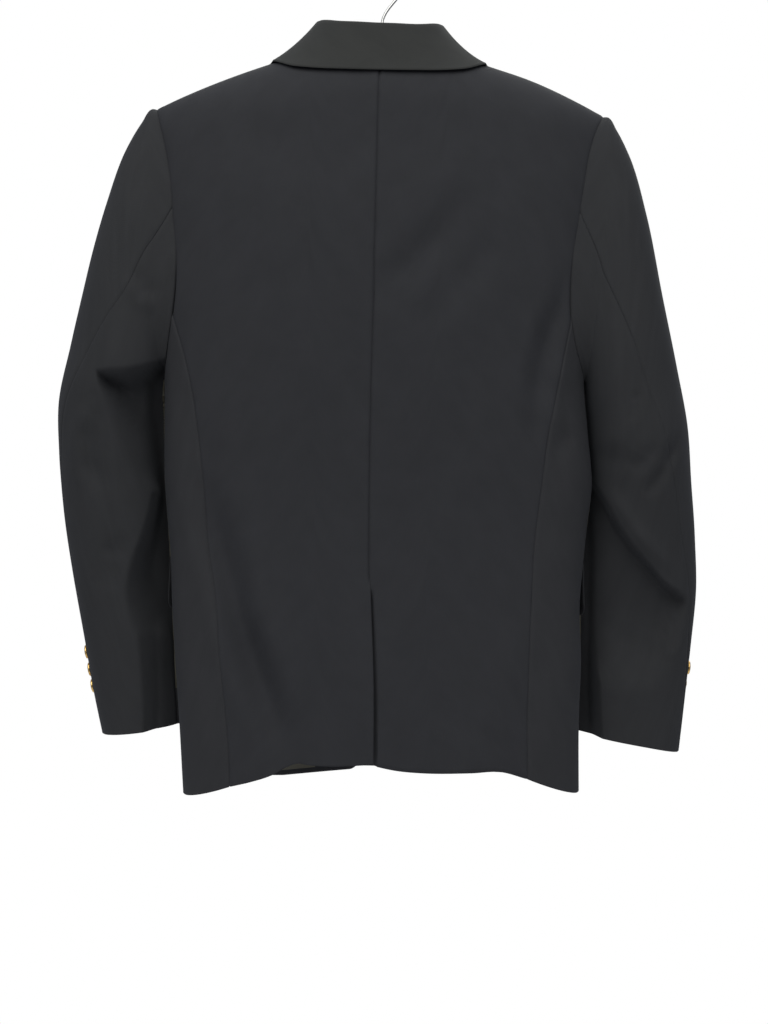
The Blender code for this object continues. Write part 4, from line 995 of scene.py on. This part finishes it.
def sleeve_grid(side):
    """Rows from the armhole to the cuff; the columns run once round, from the shoulder over the back."""
    first, angles = armhole_loop(side)
    lower = np.sin(angles) * np.abs(np.sin(angles))
    rings = [first]
    for ring in SLEEVES[side]:
        rings.append(ring_points(ring, angles + np.radians(ring.turn + ring.seam * lower)))
    first[:, 0] -= SEAM_TUCK
    rows = eased(spaced(np.array(rings), [ring.rows * FINE for ring in SLEEVES[side]]))
    normals = tube_normals(rows)
    middle = rows.mean(axis=1, keepdims=True)
    free = smooth(run_from(rows, "top") / SLEEVE_FREE)
    height = crease_all(SLEEVE_CREASES[side], rows, middle[..., 1]) * free
    creased = pressed(rows, normals, height, middle[..., 1])
    folded = hollowed(creased, SLEEVE_HOLLOWS[side], middle[..., 1])
    turns = smooth((creased[..., 1] - folded[..., 1]) / HOLLOW_EDGE)[..., None]
    return folded, unit(normals * (1 - turns) + tube_normals(folded) * turns)


def cuff_vent_dip(line):
    return CUFF_DIP + CUFF_VENT_DIP * smooth((CUFF_VENT_TOP - line[:, 2]) / (8 * MM))


def sleeve(side, upper_finishes, under_finishes):
    rows, normals = sleeve_grid(side)
    count = rows.shape[1]
    behind, before = SLEEVE_COLUMNS_BACK * FINE, SLEEVE_COLUMNS_FRONT * FINE
    upper, under = np.arange(before, count + behind + 1) % count, np.arange(behind, before + 1)
    for part, columns, finishes, seams in (
        ("sleeve_under", under, under_finishes, {"left": cuff_vent_dip, "right": CUFF_DIP}),
        ("sleeve_upper", upper, upper_finishes, {"left": CUFF_DIP, "right": cuff_vent_dip}),
    ):
        sewn(
            f"{part}_{SIDES[side]}", part, "hung", [f"back_{SIDES[side]}_wool"],
            rows[:, columns], normals[:, columns], {"top": armhole_dip, **seams}, finishes, side,
            lined=turned_up(CUFF_TURNED),
        )


# ================================================================ collar and lapels
def collar_line(names):
    points = np.array([[getattr(station, name) * MM for name in names] for station in COLLAR])
    mirrored = points[1][None] * [-1, 1, 1][: len(names)]
    rows = between(np.concatenate([mirrored, points]), [2 * FINE] * len(points))
    return rows[2 * FINE :]


def on_body(side, x, height, lift, face):
    """Points off the body's surface at places from behind (face 1) over the shoulder to before (-1)."""
    height = np.minimum(height, ridge(side, x) - 0.2 * MM)
    points = body_point(side, x, height, BACK)
    points[..., 1] *= face
    return points + lift * body_normal(side, points, BACK)


def collar_half(side):
    """The lines of half a collar, and how far each place is behind or in front of the shoulder."""
    at_roll, at_edge = COLLAR_REACH[side]
    roll = collar_line(("roll_x", "roll_y", "roll_z")) * [at_roll, 1, 1]
    roll[:, 2] -= COLLAR_DROP[side] * smooth(roll[:, 0] / NECK_X * 2) + COLLAR_SINK
    seam = collar_line(("seam_x", "seam_z"))
    edge = collar_line(("edge_x", "edge_z")) * [at_edge, 1]
    faces = np.array([station.face for station in COLLAR], float)
    share = np.interp(np.linspace(0, len(COLLAR) - 1, len(roll)), np.arange(len(COLLAR)), faces)
    return roll, seam, edge, share


FALL_ROWS = np.unique(np.concatenate([np.linspace(0, 1, 22), [row[0] for row in GORGE]]))


def gorge_column(side):
    """The fall's last column, on the front, where it is sewn to the lapel."""
    share, x, height = np.array(GORGE).T
    x, height = np.interp(FALL_ROWS, share, x) * MM, np.interp(FALL_ROWS, share, height) * MM
    points = front_surface(side, x, height, np.full(len(x), FALL_LIFT))[0]
    return np.concatenate([points[0] + np.array(GORGE_CURL) * MM, points])


def fall_half(side):
    """Half the collar's fall, from under its roll to its edge; its columns start at the centre back."""
    roll, _, edge, share = collar_half(side)
    lift = FALL_LIFT - 1.2 * MM * smooth((edge[:, 0] - 70 * MM) / (35 * MM))
    edge = on_body(side, edge[:, 0], edge[:, 1], lift[:, None], share)
    fading = smooth((np.linspace(0, 1, len(roll)) - SAG_FADES) / (1 - SAG_FADES))
    sags = FALL_SAG[side] * (1 - SAG_LOST * fading)
    columns = []
    for top, low, sag in zip(roll, edge, sags):
        out = unit((low - top) * [1, 1, 0])
        column = [top + (out * across + np.array([0, 0, up])) * ROLL_RADIUS for across, up in COLLAR_CURL]
        column += [top + (low - top) * v - [0, 0, sag * 4 * v * (1 - v)] for v in FALL_ROWS]
        columns.append(column)
    last, gorge = np.array(columns[-1]), gorge_column(side)
    lies = len(COLLAR_CURL) + 2
    for t in np.linspace(0, 1, 2 * FINE + 1)[1:]:
        column = last + (gorge - last) * t
        clear = front_surface(side, column[:, 0], column[:, 2], np.full(len(column), FALL_CLEAR))[0]
        column[lies:, 1] = np.minimum(column[lies:, 1], clear[lies:, 1])
        columns.append(column)
    return np.array(columns).swapaxes(0, 1)


def stand_half(side):
    """Half the collar's stand, from inside its roll down to the neck seam."""
    roll, seam, _, share = collar_half(side)
    columns = []
    for top, low, face in zip(roll, seam, share):
        foot = on_body(side, np.array([low[0]]), np.array([low[1]]), 0, face)[0]
        out = unit(np.array([foot[0], foot[1] + 4 * MM, 0]))
        head = top - out * ROLL_RADIUS * STAND_HEAD[0] - [0, 0, ROLL_RADIUS * STAND_HEAD[1]]
        columns.append([head + (foot - head) * v for v in np.linspace(0, 1, 9)])
    return np.array(columns).swapaxes(0, 1)


def both_halves(half):
    grid = np.concatenate([half(RIGHT)[:, :0:-1] * [-1, 1, 1], half(LEFT)], axis=1)
    return grid, unit(np.cross(np.gradient(grid, axis=0), np.gradient(grid, axis=1)))


def collar(finishes):
    for part, half, seams, held, wall in (
        ("collar_fall", fall_half, {"left": 0.4, "right": 0.4}, "folded", FALL_WALL),
        ("collar_stand", stand_half, {"bottom": 0.6, "top": 0.6}, "hung", CLOTH),
    ):
        backs = ["back_left_wool", "back_right_wool"]
        sewn(part, part, held, backs, *both_halves(half), seams, finishes, thickness=wall)


def even(path, steps):
    """The path cut into steps of one length."""
    run = np.concatenate([[0], np.linalg.norm(np.diff(path, axis=0), axis=1).cumsum()])
    at = np.linspace(0, run[-1], steps + 1)
    return np.stack([np.interp(at, run, path[:, k]) for k in range(path.shape[1])], axis=-1)


def lapel(side, finishes):
    rows, columns = 12 * FINE + 1, 6 * FINE + 1
    t = np.linspace(0, 1, rows)
    heights = (LAPEL_TOP - LAPEL_DROP * t) * MM
    roll = stacked(x_at(FRONT_EDGE, heights), heights)
    edge = even(between(np.array(LAPEL_EDGE) * MM, [6] * (len(LAPEL_EDGE) - 1)), rows - 1)
    top = even(np.array([GORGE[0][1:], GORGE[3][1:], LAPEL_TIP]) * MM, columns - 1)
    s = np.linspace(0, 1, columns)
    bottom = roll[-1] + (edge[-1] - roll[-1]) * s[:, None]
    plan = coons(top, bottom, roll, edge, s[None, :, None], t[:, None, None])
    bulge = LAPEL_BULGE * np.sin(math.pi * np.minimum(s * 1.6, 1))
    bulge = bulge[None] * np.sin(math.pi * np.clip(t, 0.02, 0.98))[:, None]
    bulge *= 1 - underlap(side, plan[..., :1] + [[[0, 0, 0]]]) / UNDERLAP
    points, normals = front_surface(side, plan[..., 0], plan[..., 1], LAPEL_LIFT + bulge)
    first, out = points[:, :1], normals[:, :1]
    inward = unit(points[:, 1:2] - first)
    calm = smooth((1 - t) * 10)[:, None, None]
    curl = [first + (inward * along * calm + out * up) * MM for along, up in LAPEL_CURL]
    points = np.concatenate(curl + [points], axis=1)
    normals = unit(np.cross(np.gradient(points, axis=1), np.gradient(points, axis=0)))
    sewn(
        "lapel_" + SIDES[side], "lapel", "folded", [f"front_{SIDES[side]}_wool"],
        points, normals, {}, finishes, side, thickness=LAPEL_WALL,
    )


def flap(side, finishes):
    rows, columns = 20, 48
    share = np.linspace(-1, 1, columns)[None]
    angles = np.linspace(FLAP_ANGLES[0], FLAP_ANGLES[1], columns)[None]
    drop = np.linspace(0, 1, rows)[:, None]
    corner = FLAP_CORNER * (np.maximum(np.abs(share) - FLAP_CORNER_FROM, 0) / (1 - FLAP_CORNER_FROM)) ** 2
    heights = FLAP_TOP - drop * (FLAP_HEIGHT - corner * drop)
    points = loop_point(side, angles + 0 * drop, heights)
    normals = loop_normal(side, points)
    back_end = smooth(1 - (FLAP_ANGLES[0] - angles) / 0.35)
    flare = FLAP_FLARE[side] * drop * (0.7 + 0.7 * back_end)
    lift = FLAP_WALL + FLAP_CLEAR + flare + 0.3 * MM * np.sin(7 * angles + 3 * drop)
    points = points + lift[..., None] * normals
    sewn(
        "flap_" + SIDES[side], "flap", "hung", [f"front_{SIDES[side]}_wool"],
        points, normals, {}, finishes, side, thickness=FLAP_WALL,
    )


# ================================================================ buttons and hanger
def select_faces(mesh, wanted):
    bpy.ops.object.mode_set(mode="OBJECT")
    for polygon in mesh.polygons:
        polygon.select = wanted(polygon)
    bpy.ops.object.mode_set(mode="EDIT")


RIM_AND_DOME = (  # insets and lifts of a button's face
    (0.03, 0.05), (0.05, 0.02), (0.04, -0.05), (0.04, 0.02), (0.13, 0.07), (0.17, 0.06), (0.2, 0.035),
)
SHANK = ((0.06, 0.03), (0.5, 0.0), (0.08, 0.3))


def domed_button():
    """A plain button of radius 1 that faces +Z: a rolled rim, a groove and a low dome, with a shank."""
    bpy.ops.object.select_all(action="DESELECT")
    bpy.ops.mesh.primitive_cylinder_add(vertices=40, radius=0.97, depth=0.2, location=(0, 0, -0.02))
    item = bpy.context.object
    bpy.ops.object.mode_set(mode="EDIT")
    bpy.ops.mesh.select_mode(type="FACE")
    select_faces(item.data, lambda polygon: polygon.normal.z > 0.9)
    for inset, lift in RIM_AND_DOME:
        bpy.ops.mesh.inset(thickness=inset, depth=lift)
    bpy.ops.mesh.poke()
    select_faces(item.data, lambda polygon: polygon.normal.z < -0.9)
    for inset, lift in SHANK:
        bpy.ops.mesh.inset(thickness=inset, depth=lift)
    bpy.ops.object.mode_set(mode="OBJECT")
    bevel = item.modifiers.new("rim", "BEVEL")
    bevel.width = 0.025
    bevel.segments = 2
    bevel.limit_method = "ANGLE"
    bpy.ops.object.modifier_apply(modifier="rim")
    bpy.ops.object.shade_smooth_by_angle(angle=math.radians(50))
    return item


def stands_for(item, node, finish):
    """Gives a hard piece its finish, parents it to the root and hides the node of the frame it takes the
    place of.
    """
    item.data.materials.clear()
    item.data.materials.append(finish)
    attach(item, "root")
    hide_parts(node)


def button_seat(node):
    """Where a button of the frame sits: its middle, the way it faces and its radius."""
    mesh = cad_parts[node].data
    points = np.array([vertex.co for vertex in mesh.vertices])
    middle = (points.min(axis=0) + points.max(axis=0)) / 2
    facing = np.linalg.svd(points - points.mean(axis=0))[2][2]
    away = (points - middle) @ facing
    wide = np.linalg.norm(points - middle - away[:, None] * facing, axis=1)
    if away[wide > 0.8 * wide.max()].mean() < (away.max() + away.min()) / 2:
        facing = -facing
    return middle, facing, wide.max()


def buttons(brass):
    model = domed_button()
    for node in sorted(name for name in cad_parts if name.startswith("button_")):
        middle, facing, radius = button_seat(node)
        item = link_to_scene(bpy.data.objects.new(node + "_brass", model.data.copy()))
        if "cuff" in node:
            middle = middle - CUFF_BUTTON_SINK * facing
        for cuff, shift in CUFF_BUTTON_SHIFT.items():
            if cuff in node:
                middle = middle + shift
        turn = Vector(facing).to_track_quat("Z", "Y").to_matrix().to_4x4()
        item.data.transform(Matrix.Translation(Vector(middle)) @ turn @ Matrix.Scale(radius, 4))
        stands_for(item, node, brass)
    bpy.data.objects.remove(model, do_unlink=True)


def hanger(plastic, wire):
    """The bar with rounded arms, and the hook's wire with a rounded tip."""
    for node, finish, slot in (
        ("hanger_bar", plastic, "hanger_plastic"),
        ("hanger_hook", wire, "hanger_wire"),
    ):
        item = link_to_scene(bpy.data.objects.new(node + "_smooth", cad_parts[node].data.copy()))
        bpy.ops.object.select_all(action="DESELECT")
        item.select_set(True)
        bpy.context.view_layer.objects.active = item
        bpy.ops.object.mode_set(mode="EDIT")
        bpy.ops.mesh.select_all(action="SELECT")
        bpy.ops.mesh.remove_doubles(threshold=0.01 * MM)
        bpy.ops.mesh.tris_convert_to_quads()
        bpy.ops.object.mode_set(mode="OBJECT")
        rounder = item.modifiers.new("rounder", "SUBSURF")
        rounder.levels = rounder.render_levels = 2
        bpy.ops.object.modifier_apply(modifier="rounder")
        bpy.ops.object.shade_smooth()
        stands_for(item, node, finish)


# ================================================================ finishes
def feed(socket, value):
    """Links a shader socket to another node's output, or sets its value."""
    if isinstance(value, bpy.types.NodeSocket):
        socket.id_data.links.new(value, socket)
    else:
        socket.default_value = value


def made(tree, kind, output, **values):
    """The named output of a new shader node with these settings and inputs."""
    node = tree.nodes.new("ShaderNode" + kind)
    for name, value in values.items():
        if name in node.inputs:
            feed(node.inputs[name], value)
        else:
            setattr(node, name, value)
    return node.outputs[output]


def reckoned(tree, operation, *values):
    output = made(tree, "Math", 0, operation=operation)
    for socket, value in zip(output.node.inputs, values):
        feed(socket, value)
    return output


def ranged(tree, value, low, high, start=0.0, end=1.0):
    """Where a value lies from start to end, as the same share from low to high."""
    output = made(tree, "MapRange", "Result", Value=value)
    numbers = {"From Min": start, "From Max": end, "To Min": low, "To Max": high}
    for name, number in numbers.items():
        feed(output.node.inputs[name], number)
    return output


def mixed(tree, share, first, second):
    output = made(tree, "Mix", 2, data_type="RGBA", Factor=share)
    feed(output.node.inputs[6], first)
    feed(output.node.inputs[7], second)
    return output


def summed(tree, *parts):
    """The parts' values, each less its middle, times its weight."""
    total = 0.0
    for value, middle, weight in parts:
        centred = reckoned(tree, "SUBTRACT", value, middle)
        total = reckoned(tree, "MULTIPLY_ADD", centred, weight, total)
    return total


def worsted_effect():
    """Fine twill with slubs, a soft mottle and a little lint, from the cloth's flat pattern in metres."""
    group = bpy.data.node_groups.new("worsted", "ShaderNodeTree")
    face = group.interface
    face.new_socket(name="Wool", in_out="INPUT", socket_type="NodeSocketColor")
    for name, start in (("Mottle", 0.12), ("Lint", 1.0)):
        face.new_socket(name=name, in_out="INPUT", socket_type="NodeSocketFloat").default_value = start
    face.new_socket(name="Colour", in_out="OUTPUT", socket_type="NodeSocketColor")
    for name in ("Roughness", "Height"):
        face.new_socket(name=name, in_out="OUTPUT", socket_type="NodeSocketFloat")
    given, result = group.nodes.new("NodeGroupInput").outputs, group.nodes.new("NodeGroupOutput").inputs

    pattern = made(group, "UVMap", "UV", uv_map="cloth")
    slanted = made(group, "Mapping", "Vector", Vector=pattern, Rotation=(0, 0, math.radians(62)))
    stretched = made(group, "Mapping", "Vector", Vector=pattern, Scale=(1400, 110, 1))
    twill = made(group, "TexWave", "Fac", Vector=slanted, Scale=330.0, Distortion=1.2, Detail=1.0)
    slubs = made(group, "TexNoise", "Fac", Vector=stretched, Scale=1.0, Detail=2.0)
    soft = made(group, "TexNoise", "Fac", Vector=pattern, Scale=38.0, Detail=5.0, Roughness=0.62)
    grain = made(group, "TexNoise", "Fac", Vector=pattern, Scale=420.0, Detail=3.0, Roughness=0.7)
    spots = made(group, "TexVoronoi", "Distance", Vector=pattern, Scale=11.0, Randomness=1.0)

    shade = summed(group, (soft, 0.5, 2.6), (grain, 0.5, 1.3), (slubs, 0.5, 0.9), (twill, 0.5, 0.35))
    shaded = reckoned(group, "MULTIPLY_ADD", shade, given["Mottle"], 1.0)
    dyed = made(group, "VectorMath", 0, operation="SCALE", Vector=given["Wool"], Scale=shaded)
    speck = ranged(group, spots, 0.0, 1.0, 0.010, 0.005)
    lint = reckoned(group, "MULTIPLY", speck, given["Lint"])
    feed(result["Colour"], mixed(group, lint, dyed, LINT))
    feed(result["Roughness"], summed(group, (grain, -3.4, 0.22)))
    feed(result["Height"], summed(group, (twill, 0, 0.5), (slubs, 0, 0.5), (grain, 0, 0.6)))
    return group


def principled(name, roughness=None):
    material = bpy.data.materials.new(name)
    material.use_nodes = True
    shader = material.node_tree.nodes["Principled BSDF"].inputs
    if roughness is not None:
        feed(shader["Roughness"], roughness)
    return material, material.node_tree, shader


def raised(tree, shader, height, strength, distance):
    bump = made(tree, "Bump", "Normal", Height=height, Strength=strength, Distance=distance)
    feed(shader["Normal"], bump)


def ramped(tree, value, low, high, places=(0.0, 1.0)):
    """A colour from low to high as the value goes from one place to the other."""
    output = made(tree, "ValToRGB", "Color", Fac=value)
    for stop, place, colour in zip(output.node.color_ramp.elements, places, (low, high)):
        stop.position, stop.color = place, (*colour, 1)
    return output


def wool(name, effect, colour, mottle=0.12, lint=0.7):
    material, tree, shader = principled(name)
    node = tree.nodes.new("ShaderNodeGroup")
    node.node_tree = effect
    for socket, value in (("Wool", (*colour, 1)), ("Mottle", mottle), ("Lint", lint)):
        feed(node.inputs[socket], value)
    feed(shader["Base Color"], node.outputs["Colour"])
    feed(shader["Roughness"], node.outputs["Roughness"])
    raised(tree, shader, node.outputs["Height"], 0.35, 0.12 * MM)
    feed(shader["Specular IOR Level"], 0.14)
    feed(shader["Sheen Weight"], 0.03)
    feed(shader["Sheen Roughness"], 0.55)
    feed(shader["Sheen Tint"], (0.75, 0.82, 1, 1))
    return material


def satin(name, colour):
    """The lining: a smooth satin with a fine warp."""
    material, tree, shader = principled(name, 0.38)
    pattern = made(tree, "UVMap", "UV", uv_map="cloth")
    warp = made(tree, "Mapping", "Vector", Vector=pattern, Scale=(2600, 60, 1))
    threads = made(tree, "TexNoise", "Fac", Vector=warp, Scale=1.0, Detail=2.0)
    dark, light = [[share * part for part in colour] for share in (0.8, 1.2)]
    feed(shader["Base Color"], ramped(tree, threads, dark, light))
    raised(tree, shader, threads, 0.15, 0.05 * MM)
    return material


def worn_metal(name, colour, dark, roughness, scale):
    """Polished metal with faint cloudy tarnish."""
    material, tree, shader = principled(name)
    place = made(tree, "TexCoord", "Object")
    clouds = made(tree, "TexNoise", "Fac", Vector=place, Scale=scale, Detail=5.0, Roughness=0.6)
    feed(shader["Base Color"], ramped(tree, clouds, dark, colour, (0.35, 0.6)))
    feed(shader["Roughness"], ranged(tree, clouds, roughness * 1.6, roughness * 0.7))
    feed(shader["Metallic"], 1.0)
    return material


def moulded_plastic(name):
    material, tree, shader = principled(name)
    place = made(tree, "TexCoord", "Object")
    grain = made(tree, "TexNoise", "Fac", Vector=place, Scale=900.0, Detail=3.0)
    raised(tree, shader, grain, 0.2, 0.05 * MM)
    feed(shader["Roughness"], ranged(tree, grain, 0.38, 0.55))
    feed(shader["Base Color"], PLASTIC)
    return material


# ================================================================ studio
def studio_floor():
    paint, _, shader = principled("studio_floor", 0.8)
    feed(shader["Base Color"], (0.86, 0.86, 0.86, 1))
    bpy.ops.object.select_all(action="DESELECT")
    bpy.ops.mesh.primitive_circle_add(vertices=96, radius=FLOOR_RADIUS, fill_type="NGON")
    floor = bpy.context.object
    floor.name = "studio_floor"
    floor.data.transform(Matrix.Translation((0, 0, FLOOR_HEIGHT)))
    floor.data.materials.append(paint)


def studio_light():
    """A soft world that looks white to the camera, and two large lamps."""
    world = bpy.data.worlds.new("studio")
    world.use_nodes = True
    bpy.context.scene.world = world
    tree = world.node_tree
    way = made(tree, "TexCoord", "Generated")
    rise = made(tree, "SeparateXYZ", "Z", Vector=way)
    overhead = ranged(tree, rise, *WORLD_LIGHT, start=-1.0)
    tint = made(tree, "VectorMath", 0, operation="SCALE", Vector=WORLD_TINT, Scale=overhead)
    seen = made(tree, "LightPath", "Is Camera Ray")
    feed(tree.nodes["Background"].inputs["Color"], mixed(tree, seen, tint, (1, 1, 1, 1)))
    for row in LAMPS:
        lamp = bpy.data.lights.new(row.name, "AREA")
        lamp.energy, lamp.size, lamp.color = row.watts, LAMP_SIZE, LAMP_COLOUR
        item = link_to_scene(bpy.data.objects.new(row.name, lamp))
        item.location = row.place
        item.rotation_euler = (Vector(LAMPS_AIM) - Vector(row.place)).to_track_quat("-Z", "Y").to_euler()


def studio_camera():
    lens = bpy.data.cameras.new("camera")
    lens.sensor_width, lens.lens = SENSOR, LENS
    camera = link_to_scene(bpy.data.objects.new("camera", lens))
    looks_along = Matrix(((-1, 0, 0), (0, 0, 1), (0, 1, 0))).transposed()
    looks_along = looks_along @ Matrix.Rotation(CAMERA_ROLL, 3, "Z")
    camera.matrix_world = Matrix.Translation(CAMERA_PLACE) @ looks_along.to_4x4()
    bpy.context.scene.camera = camera
    bpy.context.scene.view_settings.view_transform = "Standard"


def main():
    worsted = worsted_effect()
    lining = satin("lining_satin", LINING)
    # a copy of the wool for each part, each toned with its own painted light and shade
    wools = {part: wool(part + "_wool_cloth", worsted, colour) for part, colour in WOOLS_WITH_PAINTED_LIGHT.items()}
    for side in (LEFT, RIGHT):
        back_panel(side, (wools["back"], lining))
        side_panel(side, (wools["side"], lining))
        front_panel(side, (wools["front"], lining))
        sleeve(side, (wools["sleeve_upper"], lining), (wools["sleeve_under"], lining))
        lapel(side, (wools["lapel"],))
        flap(side, (wools["flap"],))
    collar((wools["collar"],))
    buttons(worn_metal("brass_metal", BRASS, BRASS_TARNISH, 0.24, 160))
    hanger(moulded_plastic("hanger_black"), worn_metal("hanger_steel", STEEL, STEEL_TARNISH, 0.22, 90))
    studio_floor()
    studio_light()
    studio_camera()


main()
